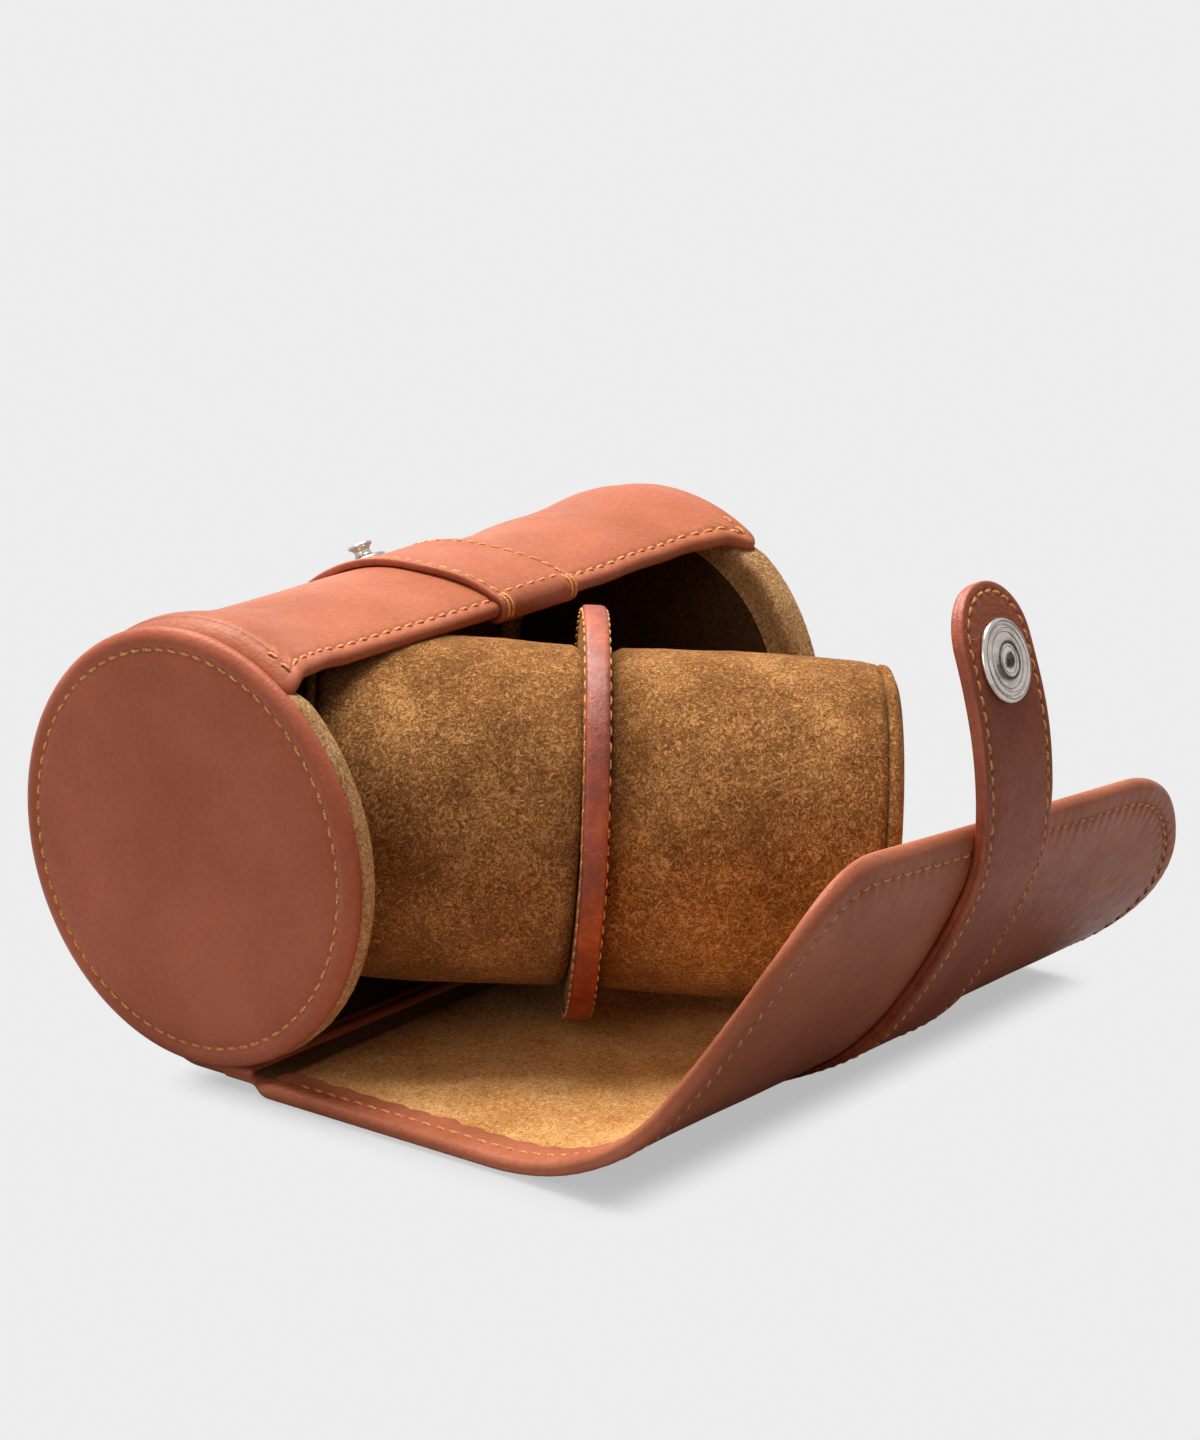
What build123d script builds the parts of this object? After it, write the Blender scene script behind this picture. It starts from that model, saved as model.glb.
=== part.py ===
"""A double watch roll lying on its side with its flap open and its cushion roll half out.

X runs along the case, the open front and the flap face -Y, Z is up and the ground is z = 0.
The origin is in the middle of the flat heel that the case rests on.
Angles round the case are measured from its top and grow towards the front.
"""

import os
from math import cos, radians, sin, sqrt

from build123d import *

# Case: two round caps joined by a shell that leaves the front open
case_length = 141.0
cap_radius = 40.0
cap_face = 1.2
cap_cover_depth = 2.6
cap_edge_round = 1.1
cap_thickness = 6.3
pad_crown = 0.8
pad_setback = 0.2
board_fit = 0.05

leather_thickness = 1.2
lining_thickness = 0.7
shell_fit = 0.1
shell_front_angle = 33.0
shell_hem = 3.0
heel_reach = 16.0

# Belt round the shell, and the snap stud riveted through it
belt_width = 22.0
belt_thickness = 1.4
belt_end_angle = -150.0
belt_hook_reach = 4.0
stud_angle = -28.0
stud_base_radius = 4.0
stud_base_height = 0.6
stud_neck_radius = 1.6
stud_waist_radius = 1.5
stud_head_radius = 2.3
stud_neck_height = 0.9
stud_waist_height = 1.9
stud_head_height = 2.7
stud_height = 3.4
rivet_radius = 1.1
rivet_head_radius = 3.6
rivet_head_height = 0.5
rivet_head_round = 0.25
rivet_fit = 0.05

# Flap: a sheet that lies on the ground and then curls up, cut into panels where it flexes.
# Each panel has a length along the outer face and a turn, at its left and at its right side.
flap_half_width = 71.4
flap_tip_half_width = 64.0
flap_leather = 1.5
flap_suede = 1.3
flap_hem = 10.0
flap_corner = 20.0
panel_gap = 0.5
flex_bevel = 0.2
trim_allowance = 3.0
floor_length = 54.4
bend_length_left = 44.5
bend_length_right = 48.5
bend_turn_left = 53.0
bend_turn_right = 47.0
front_length_left = 30.7
front_length_right = 16.5
front_turn_left = 6.0
front_turn_right = 32.0
tip_length_left = 18.7
tip_length_right = 15.5

# Strap: two layers along the outer face of the flap, then free beyond its top edge
strap_width = 22.0
strap_layer = 1.5
strap_start = 15.0
strap_seat = 0.1
strap_overrun = 3.0
strap_kink = 17.8
strap_bevel = 0.6
neck_length = 13.9
neck_turn = 26.0
end_length = 26.6
end_turn = 2.0
toe_spare = 0.1

# Snap on the strap end
snap_radius = 7.3
snap_height = 1.7
snap_distance = 13.0
socket_radius = 5.4
socket_height = 2.0
socket_bore = 2.7
post_radius = 1.3
socket_seat = 0.1
cap_edge_fillet = 1.0
cap_ring_outer = 5.2
cap_ring_inner = 4.4
cap_ring_depth = 0.5
socket_bore_depth = 1.6
socket_round = 0.5

# Cushion roll: two cushions in line with a disc divider between them
roll_turn = 50.0
roll_dip = 4.0
roll_x = -7.7
roll_y = -39.2
divider_radius = 37.6
divider_edge = 1.2
divider_edge_round = 0.5
divider_board = 2.7
divider_suede = 0.9
divider_clearance = 0.4
cushion_radius = 31.6
cushion_end_radius = 30.6
cushion_left_length = 48.0
cushion_right_length = 53.5
sleeve_thickness = 2.0
end_disc_thickness = 2.4
end_disc_setback = 0.6
end_round = 1.6
cushion_gap = 0.1

# Worked out from the values above
half_length = case_length / 2
lining_inner = cap_radius + shell_fit
leather_inner = lining_inner + lining_thickness
shell_radius = leather_inner + leather_thickness
axis_height = shell_radius
axis_y = heel_reach / 2
belt_radius = shell_radius + belt_thickness
flap_thickness = flap_leather + flap_suede

# Length and turn of each panel from the heel out, along the left and the right side of the flap
LEFT = [
    (heel_reach, 0.0),
    (floor_length, 0.0),
    (bend_length_left, bend_turn_left),
    (front_length_left, front_turn_left),
    (tip_length_left, 0.0),
]
RIGHT = [
    (heel_reach, 0.0),
    (floor_length, 0.0),
    (bend_length_right, bend_turn_right),
    (front_length_right, front_turn_right),
    (tip_length_right, 0.0),
]
HEEL, FLOOR, BEND, FRONT, TIP = range(5)

# Whether a panel's start and end are cut to a V so that the next panel can fold both ways
FLEX_ENDS = {FLOOR: (0, 0), BEND: (0, 1), FRONT: (1, 1), TIP: (1, 0)}

os.makedirs("parts", exist_ok=True)


def save(part, name):
    """Label a finished piece and write it as its own file."""
    part.label = name
    export_step(part, f"parts/{name}.step")


def round_point(radius, angle):
    """Point in the YZ plane at an angle from the top of the case, positive towards the front."""
    a = radians(angle)
    return (axis_y - radius * sin(a), axis_height + radius * cos(a))


def ring_sector(x, inner, outer, start, end):
    """Face across the case between two radii and two angles round its axis."""
    middle = (start + end) / 2
    with BuildSketch(Plane.YZ.offset(x)) as sector:
        with BuildLine():
            ThreePointArc(round_point(outer, start), round_point(outer, middle), round_point(outer, end))
            Line(round_point(outer, end), round_point(inner, end))
            ThreePointArc(round_point(inner, end), round_point(inner, middle), round_point(inner, start))
            Line(round_point(inner, start), round_point(outer, start))
        make_face()
    return sector.sketch


def arc_to(point, direction, length, turn):
    """Follow a sheet from a point by a length while its direction turns, both angles in degrees."""
    if abs(turn) < 0.001:
        a = radians(direction)
        return (point[0] - length * cos(a), point[1] + length * sin(a)), direction
    radius = length / radians(turn)
    a, b = radians(direction), radians(direction + turn)
    return (
        (point[0] - radius * (sin(b) - sin(a)), point[1] + radius * (cos(a) - cos(b))),
        direction + turn,
    )


def lifted(point, direction, depth):
    """Point moved from the outer face towards the inside of the flap."""
    a = radians(direction)
    return (point[0] + depth * sin(a), point[1] + depth * cos(a))


def panel_point(side, panel, along, depth):
    """Point of one flap panel at a distance from its start, at one side of the flap."""
    point, direction = (axis_y, 0.0), 0.0
    for length, turn in side[:panel]:
        point, direction = arc_to(point, direction, length, turn)
    length, turn = side[panel]
    point, direction = arc_to(point, direction, along, turn * along / length)
    return lifted(point, direction, depth)


def panel_corners(side, panel, low, high, first, last):
    """Six points round a panel's section: outer start, middle and end, inner end, middle and start."""
    corners = []
    for depth in (low, high):
        cut = flex_bevel * abs(depth)
        start = first + FLEX_ENDS[panel][0] * cut
        end = last - FLEX_ENDS[panel][1] * cut
        corners.append([panel_point(side, panel, s, depth) for s in (start, (start + end) / 2, end)])
    return corners[0] + corners[1][::-1]


def bent_face(x, points, flat):
    """Section across X with two long sides, straight or bent through their middle points."""
    o1, o2, o3, i1, i2, i3 = points
    with BuildSketch(Plane.YZ.offset(x)) as section:
        with BuildLine():
            if flat:
                Line(o1, o3)
                Line(o3, i1)
                Line(i1, i3)
            else:
                ThreePointArc(o1, o2, o3)
                Line(o3, i1)
                ThreePointArc(i1, i2, i3)
            Line(i3, o1)
        make_face()
    return section.sketch


def between(left, right, share):
    """Points a share of the way from the left side to the right side."""
    return [(a[0] + (b[0] - a[0]) * share, a[1] + (b[1] - a[1]) * share) for a, b in zip(left, right)]


def panel_layer(panel, low, high, start, beyond, half_width=flap_half_width):
    """Solid layer of a flap panel between two depths, centred across the flap."""
    ends = []
    for side in (LEFT, RIGHT):
        ends.append(panel_corners(side, panel, low, high, start, side[panel][0] + beyond))
    share = (flap_half_width - half_width) / (2 * flap_half_width)
    flat = panel in (FLOOR, TIP)
    left_section = bent_face(-half_width, between(*ends, share), flat)
    right_section = bent_face(half_width, between(*ends, 1 - share), flat)
    with BuildPart() as layer:
        loft([left_section, right_section], ruled=True)
    return layer.part


def middle_point(panel, along_share, depth):
    """Point on the middle of the flap, a share of the way along a panel."""
    left = panel_point(LEFT, panel, LEFT[panel][0] * along_share, depth)
    right = panel_point(RIGHT, panel, RIGHT[panel][0] * along_share, depth)
    return between([left], [right], 0.5)[0]


# Plane of the raised part of the flap: origin at its root, local X along its top edge
top_left = panel_point(LEFT, TIP, tip_length_left, 0)
top_right = panel_point(RIGHT, TIP, tip_length_right, 0)
root_middle = middle_point(FRONT, 0, 0)
top_middle = middle_point(TIP, 1, 0)
along_top = Vector(2 * flap_half_width, top_right[0] - top_left[0], top_right[1] - top_left[1])
up_middle = Vector(0, top_middle[0] - root_middle[0], top_middle[1] - root_middle[1])
raised_plane = Plane(
    origin=(0, root_middle[0], root_middle[1]),
    x_dir=along_top.normalized(),
    z_dir=along_top.cross(up_middle).normalized(),
)
raised_height = up_middle.dot(raised_plane.y_dir)


def raised_block(inset, corner):
    """Block through the raised part of the flap, with its rounded outline drawn in from its edge."""
    root = flap_half_width - inset
    tip = flap_tip_half_width - inset
    top = raised_height - inset
    below = -raised_height
    with BuildPart() as block:
        with BuildSketch(raised_plane.offset(-raised_height)) as outline:
            with BuildLine():
                Polyline((-root, below), (-root, 0), (-tip, top), (tip, top), (root, 0), (root, below), close=True)
            make_face()
            fillet(outline.vertices().group_by(Axis.Y)[-1], corner)
        extrude(amount=2 * raised_height)
    return block.part


# Caps
pad_radius = cap_radius - pad_setback
pad_sphere = (pad_radius**2 + pad_crown**2) / (2 * pad_crown)
for side, name in ((-1, "left"), (1, "right")):
    with BuildPart() as cap_cover:
        with BuildSketch(Plane.YZ.offset(side * half_length)):
            with Locations((axis_y, axis_height)):
                Circle(cap_radius)
        extrude(amount=-side * cap_cover_depth)
        rim = cap_cover.edges().sort_by(Axis.X)[-1 if side > 0 else 0]
        fillet(rim, cap_edge_round)
        with BuildSketch(Plane.YZ.offset(side * (half_length - cap_face))):
            with Locations((axis_y, axis_height)):
                Circle(cap_radius - cap_face)
        extrude(amount=-side * (cap_cover_depth - cap_face), mode=Mode.SUBTRACT)
    save(cap_cover.part, f"cap_cover_{name}")

    with BuildPart() as cap_board:
        with BuildSketch(Plane.YZ.offset(side * (half_length - cap_face))):
            with Locations((axis_y, axis_height)):
                Circle(cap_radius - cap_face - board_fit)
        extrude(amount=-side * (cap_cover_depth - cap_face))
    save(cap_board.part, f"cap_board_{name}")

    pad_outer = side * (half_length - cap_cover_depth)
    pad_inner = side * (half_length - cap_thickness)
    with BuildPart() as cap_pad:
        with BuildSketch(Plane.YZ.offset(pad_outer)):
            with Locations((axis_y, axis_height)):
                Circle(pad_radius)
        extrude(amount=pad_inner - pad_outer)
        with Locations((pad_inner + side * pad_sphere, axis_y, axis_height)):
            Sphere(pad_sphere, rotation=(0, 90, 0), mode=Mode.INTERSECT)
    save(cap_pad.part, f"cap_pad_{name}")

# Shell: leather from the front edge round the back to the heel on the ground, hemmed at its front edge
hem_angle = shell_front_angle - shell_hem / radians(1) / shell_radius
stud_frame = Plane(
    origin=(0, *round_point(belt_radius, stud_angle)),
    x_dir=(1, 0, 0),
    z_dir=(0, -sin(radians(stud_angle)), cos(radians(stud_angle))),
)
rivet_length = belt_radius - sqrt(lining_inner**2 - rivet_head_radius**2)

with BuildSketch(stud_frame) as rivet_hole:
    Circle(rivet_radius + rivet_fit)

with BuildPart() as shell_leather:
    extrude(ring_sector(-half_length, leather_inner, shell_radius, -180, shell_front_angle), case_length)
    extrude(ring_sector(-half_length, lining_inner, shell_radius, hem_angle, shell_front_angle), case_length)
    with BuildSketch(Plane.YZ.offset(-half_length)):
        with Locations((axis_y, 0)):
            Rectangle(heel_reach, leather_thickness, align=(Align.MAX, Align.MIN))
    extrude(amount=case_length)
    extrude(rivet_hole.sketch, -2 * rivet_length, mode=Mode.SUBTRACT)
save(shell_leather.part, "shell_leather")

with BuildPart() as shell_lining:
    extrude(ring_sector(-half_length, lining_inner, leather_inner, -180, hem_angle), case_length)
    with BuildSketch(Plane.YZ.offset(-half_length)):
        with Locations((axis_y, leather_thickness)):
            Rectangle(heel_reach, lining_thickness, align=(Align.MAX, Align.MIN))
    extrude(amount=case_length)
    extrude(rivet_hole.sketch, -2 * rivet_length, mode=Mode.SUBTRACT)
save(shell_lining.part, "shell_lining")

# Belt round the shell, folded over the shell's front edge
hook_angle = shell_front_angle + belt_thickness / radians(1) / shell_radius
hook_start = shell_front_angle - belt_hook_reach / radians(1) / shell_radius
hook_inner = lining_inner - belt_thickness
with BuildPart() as belt:
    for inner, outer, start, end in (
        (shell_radius, belt_radius, belt_end_angle, hook_angle),
        (hook_inner, belt_radius, shell_front_angle, hook_angle),
        (hook_inner, lining_inner, hook_start, hook_angle),
    ):
        extrude(ring_sector(-belt_width / 2, inner, outer, start, end), belt_width)
    extrude(rivet_hole.sketch, -2 * rivet_length, mode=Mode.SUBTRACT)
save(belt.part, "belt")

with BuildPart() as snap_stud:
    with BuildSketch(Plane(stud_frame.origin, x_dir=stud_frame.z_dir, z_dir=(1, 0, 0))):
        with BuildLine():
            Polyline(
                (-rivet_length, 0),
                (-rivet_length, rivet_radius),
                (0, rivet_radius),
                (0, stud_base_radius),
                (stud_base_height, stud_base_radius),
                (stud_neck_height, stud_neck_radius),
            )
            ThreePointArc(
                (stud_neck_height, stud_neck_radius),
                (stud_waist_height, stud_waist_radius),
                (stud_head_height, stud_head_radius),
            )
            Polyline(
                (stud_head_height, stud_head_radius),
                (stud_height, stud_head_radius),
                (stud_height, 0),
                (-rivet_length, 0),
            )
        make_face()
    revolve(axis=Axis(stud_frame.origin, stud_frame.z_dir))
save(snap_stud.part, "snap_stud")

with BuildPart() as stud_rivet:
    with BuildSketch(stud_frame.offset(-rivet_length)):
        Circle(rivet_head_radius)
    extrude(amount=-rivet_head_height)
    fillet(stud_rivet.edges().sort_by(Axis((0, 0, 0), stud_frame.z_dir))[0], rivet_head_round)
save(stud_rivet.part, "stud_rivet")

raised_edge = raised_block(0, flap_corner)
raised_bed = raised_block(flap_hem, flap_corner - flap_hem)
with BuildPart() as floor_bed:
    Box(2 * (flap_half_width - flap_hem), 4 * half_length, 2 * raised_height)

# Flap panels: a leather layer whose hem rises round the suede layer set into it
half_gap = panel_gap / 2
for panel, name, start, beyond in (
    (FLOOR, "floor", 0, -half_gap),
    (BEND, "bend", half_gap, -half_gap),
    (FRONT, "front", half_gap, -half_gap),
    (TIP, "tip", half_gap, trim_allowance),
):
    raised = panel in (FRONT, TIP)
    inner_layer = panel_layer(panel, flap_leather, flap_thickness, start, beyond)
    outer_layer = panel_layer(panel, 0, flap_leather, start, beyond)
    suede_bed = raised_bed if raised else floor_bed.part

    with BuildPart() as flap_leather_layer:
        add(inner_layer)
        add(suede_bed, mode=Mode.SUBTRACT)
        add(outer_layer)
        if raised:
            add(raised_edge, mode=Mode.INTERSECT)
    save(flap_leather_layer.part, f"flap_{name}_leather")

    with BuildPart() as flap_suede_layer:
        add(inner_layer)
        add(suede_bed, mode=Mode.INTERSECT)
    save(flap_suede_layer.part, f"flap_{name}_suede")

# Free strap: it runs past the top edge of the flap, then bends about lines across the case
top_direction = (sum(turn for _, turn in LEFT) + sum(turn for _, turn in RIGHT)) / 2
neck_root, _ = arc_to(middle_point(TIP, 1, -strap_seat), top_direction, strap_overrun, 0)
neck_direction = top_direction + strap_kink
end_root, end_direction = arc_to(neck_root, neck_direction, neck_length, neck_turn)
neck_end = Plane(
    origin=(0, *neck_root),
    x_dir=(1, 0, 0),
    z_dir=(0, -cos(radians(top_direction)), sin(radians(top_direction))),
).offset(-panel_gap / 2)

# Strap on the flap: two layers that follow the outer face of the last three panels
for panel, name, start, beyond in (
    (BEND, "bend", strap_start, -half_gap),
    (FRONT, "front", half_gap, -half_gap),
    (TIP, "tip", half_gap, strap_overrun + trim_allowance),
):
    for layer_face, layer_name in ((-strap_seat, "inner"), (-strap_seat - strap_layer, "outer")):
        with BuildPart() as strap_layer_part:
            add(panel_layer(panel, layer_face - strap_layer, layer_face, start, beyond, strap_width / 2))
            if panel == TIP:
                split(bisect_by=neck_end, keep=Keep.BOTTOM)
        save(strap_layer_part.part, f"strap_{name}_{layer_name}")


def free_layer(root, direction, length, turn, low, high, last):
    """Strap layer from a root point on its inner face, between two depths behind that face."""
    faces = []
    for depth in (low, high):
        first = panel_gap / 2 + strap_bevel * abs(depth - strap_layer)
        face = []
        for along in (first, (first + last) / 2, last):
            point, heading = arc_to(root, direction, along, turn * along / length)
            face.append(lifted(point, heading, -depth))
        faces.append(face)
    points = faces[0] + faces[1][::-1]
    with BuildPart() as layer:
        extrude(bent_face(-strap_width / 2, points, False), strap_width)
    return layer.part


snap_point, snap_heading = arc_to(end_root, end_direction, snap_distance, end_turn * snap_distance / end_length)
snap_out = (0, -sin(radians(snap_heading)), -cos(radians(snap_heading)))
snap_up = (0, -cos(radians(snap_heading)), sin(radians(snap_heading)))
snap_plane = Plane(origin=(0, *snap_point), x_dir=(1, 0, 0), z_dir=snap_out)
socket_plane = snap_plane.offset(-socket_seat)
cap_plane = snap_plane.offset(2 * strap_layer)
toe_length = end_length - snap_distance
toe_round = strap_width / 2 - toe_spare


for layer_low, layer_name in ((0, "inner"), (strap_layer, "outer")):
    layer_high = layer_low + strap_layer
    neck_last = neck_length - panel_gap / 2
    neck = free_layer(neck_root, neck_direction, neck_length, neck_turn, layer_low, layer_high, neck_last)
    save(neck, f"strap_neck_{layer_name}")

    end_strip = free_layer(end_root, end_direction, end_length, end_turn, layer_low, layer_high, end_length)
    with BuildPart() as strap_end:
        add(end_strip)
        with BuildSketch(snap_plane.offset(-end_length)):
            with Locations((0, (toe_length - end_length) / 2)):
                RectangleRounded(strap_width, toe_length + end_length, toe_round)
        extrude(amount=2 * end_length, mode=Mode.INTERSECT)
        with BuildSketch(snap_plane.offset(-end_length)):
            Circle(post_radius + rivet_fit)
        extrude(amount=2 * end_length, mode=Mode.SUBTRACT)
    save(strap_end.part, f"strap_end_{layer_name}")

# Snap: a cap with raised rings outside, a socket inside
with BuildPart() as snap_cap:
    with BuildSketch(cap_plane):
        Circle(snap_radius)
    extrude(amount=snap_height)
    fillet(snap_cap.edges().sort_by(Axis((0, 0, 0), snap_out))[-1], cap_edge_fillet)
    with BuildSketch(cap_plane.offset(snap_height)):
        Circle(cap_ring_outer)
        Circle(cap_ring_inner, mode=Mode.SUBTRACT)
    extrude(amount=-cap_ring_depth, mode=Mode.SUBTRACT)
    with BuildSketch(cap_plane):
        Circle(post_radius)
    extrude(amount=-2 * strap_layer - socket_seat)
save(snap_cap.part, "snap_cap")

with BuildPart() as snap_socket:
    with BuildSketch(socket_plane):
        Circle(socket_radius)
    extrude(amount=-socket_height)
    fillet(snap_socket.edges().sort_by(Axis((0, 0, 0), snap_out))[0], socket_round)
    with BuildSketch(socket_plane.offset(-socket_height)):
        Circle(socket_bore)
    extrude(amount=socket_bore_depth, mode=Mode.SUBTRACT)
save(snap_socket.part, "snap_socket")

# Cushion roll
turn, dip = radians(roll_turn), radians(roll_dip)
roll_axis = Vector(cos(turn) * cos(dip), -sin(turn) * cos(dip), -sin(dip))
roll_centre = Vector(roll_x, axis_y + roll_y, flap_thickness + divider_clearance + divider_radius)
roll_line = Axis(roll_centre, roll_axis)
profile_plane = Plane(origin=roll_centre, x_dir=roll_axis, z_dir=(-sin(turn), -cos(turn), 0))
divider_half = divider_board / 2 + divider_suede
sleeve_inner = cushion_end_radius - sleeve_thickness


def disc_profile(start, end, inner, outer):
    """Half section of a disc or ring round the roll's axis, between two stations."""
    with BuildSketch(profile_plane) as profile:
        with Locations(((start + end) / 2, (inner + outer) / 2)):
            Rectangle(abs(end - start), outer - inner)
    return profile.sketch


with BuildPart() as divider_board_part:
    revolve(disc_profile(-divider_board / 2, divider_board / 2, 0, divider_radius - divider_edge), roll_line)
save(divider_board_part.part, "divider_board")

with BuildPart() as divider_edge_part:
    revolve(disc_profile(-divider_half, divider_half, divider_radius - divider_edge, divider_radius), roll_line)
    rims = divider_edge_part.edges().filter_by(GeomType.CIRCLE).sort_by(SortBy.RADIUS)[-2:]
    fillet(rims, divider_edge_round)
save(divider_edge_part.part, "divider_edge")

for side, name, length in ((-1, "left", cushion_left_length), (1, "right", cushion_right_length)):
    with BuildPart() as divider_face:
        revolve(disc_profile(side * divider_board / 2, side * divider_half, 0, divider_radius - divider_edge), roll_line)
    save(divider_face.part, f"divider_suede_{name}")

    start = side * (divider_half + cushion_gap)
    finish = start + side * length
    seam = finish - side * end_disc_thickness
    with BuildPart() as cushion_sleeve:
        with BuildSketch(profile_plane):
            with BuildLine():
                ThreePointArc(
                    (start, cushion_end_radius),
                    ((start + seam) / 2, cushion_radius),
                    (seam, cushion_end_radius),
                )
                Line((seam, cushion_end_radius), (seam, sleeve_inner))
                Line((seam, sleeve_inner), (start, sleeve_inner))
                Line((start, sleeve_inner), (start, cushion_end_radius))
            make_face()
        revolve(axis=roll_line)
    save(cushion_sleeve.part, f"cushion_sleeve_{name}")

    with BuildPart() as cushion_core:
        revolve(disc_profile(start, seam, 0, sleeve_inner), roll_line)
    save(cushion_core.part, f"cushion_core_{name}")

    with BuildPart() as cushion_end:
        revolve(disc_profile(seam, finish, 0, cushion_end_radius - end_disc_setback), roll_line)
        outer_edge = cushion_end.edges().sort_by(Axis(roll_centre, roll_axis * side))[-1]
        fillet(outer_edge, end_round)
    save(cushion_end.part, f"cushion_end_{name}")
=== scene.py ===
"""A double watch roll lying open on its side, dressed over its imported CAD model.

Lengths in the modelling code are millimetres in the CAD frame and are scaled when a mesh is made.
"""

from bisect import bisect_left, bisect_right
from math import acos, atan2, ceil, cos, degrees, exp, pi, radians, sin, sqrt, tau

import bpy
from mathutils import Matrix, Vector, noise
from mathutils.geometry import delaunay_2d_cdt


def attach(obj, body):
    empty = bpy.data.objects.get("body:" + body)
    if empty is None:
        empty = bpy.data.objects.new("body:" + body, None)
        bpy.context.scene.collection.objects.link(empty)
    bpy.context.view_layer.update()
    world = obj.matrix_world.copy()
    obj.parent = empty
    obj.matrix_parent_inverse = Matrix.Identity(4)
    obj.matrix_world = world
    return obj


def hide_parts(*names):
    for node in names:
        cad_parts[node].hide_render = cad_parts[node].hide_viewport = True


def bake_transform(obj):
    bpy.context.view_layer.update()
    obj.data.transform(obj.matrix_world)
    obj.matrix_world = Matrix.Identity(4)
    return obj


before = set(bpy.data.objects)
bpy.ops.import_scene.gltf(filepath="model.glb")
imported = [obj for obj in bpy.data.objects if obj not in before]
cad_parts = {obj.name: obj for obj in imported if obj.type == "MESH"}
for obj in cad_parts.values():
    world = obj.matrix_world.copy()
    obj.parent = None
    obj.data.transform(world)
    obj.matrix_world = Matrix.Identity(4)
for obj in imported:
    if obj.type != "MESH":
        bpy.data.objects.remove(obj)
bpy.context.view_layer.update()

MM = 0.001
scene = bpy.context.scene

# Sizes shared with the CAD source, in millimetres
AXIS_Y, AXIS_Z = 8.0, 42.0
SHELL_RADIUS = 42.0
SHELL_FRONT = radians(33)
HEEL = 16.0
BELT_HALF = 11.0
STUD_ANGLE = radians(-28)
FLAP_HALF = 71.5
FLAP_TIP_HALF = 65.3
FLAP_THICK = 2.8
# Length and turn of the flap's stretches from the heel to its free edge, along its two sides
LEFT = [(HEEL, 0), (54.2, 0), (45.7, 53.1), (31.9, 6.2), (17.8, 0)]
RIGHT = [(HEEL, 0), (54.2, 0), (50.2, 48.9), (16.6, 25.9), (15.7, 0)]
STRAP_HALF = 11.0
STRAP_THICK = 2.5
STRAP_SEAT = 0.1
STRAP_ASIDE = -4.2
STRAP_FREE = 42.0
# Heading of the free strap at lengths past the flap's top edge
STRAP_HEADINGS = [(0, 86), (6, 92.4), (14, 98.3), (22, 105.7), (30, 108.6), (38, 111.6), (48, 122)]
SNAP_TO_TOE = 13.6
ROLL_CENTRE = Vector((-7.7, -31.2, 40.8))
ROLL_TURN, ROLL_DIP = radians(50), radians(4)
DIVIDER_RADIUS = 37.6
DIVIDER_HALF = 2.25
CUSHION_LEFT, CUSHION_RIGHT = 48.0, 53.5
DIVIDER_ASIDE = 2.1

# Looks
STITCH = 3.1
THREAD = 0.3


def smooth(low, high, value):
    share = min(1, max(0, (value - low) / (high - low)))
    return share * share * (3 - 2 * share)


def bump(centre, width, value):
    return exp(-(((value - centre) / width) ** 2))


def wave(x, y, z, size):
    """Smooth noise between -1 and 1 whose features are about `size` across."""
    return noise.noise(Vector((x / size, y / size, z / size)))


# ---- materials


def linear(r, g, b):
    def channel(v):
        v /= 255
        return v / 12.92 if v <= 0.04045 else ((v + 0.055) / 1.055) ** 2.4

    return (channel(r), channel(g), channel(b), 1)


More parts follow.
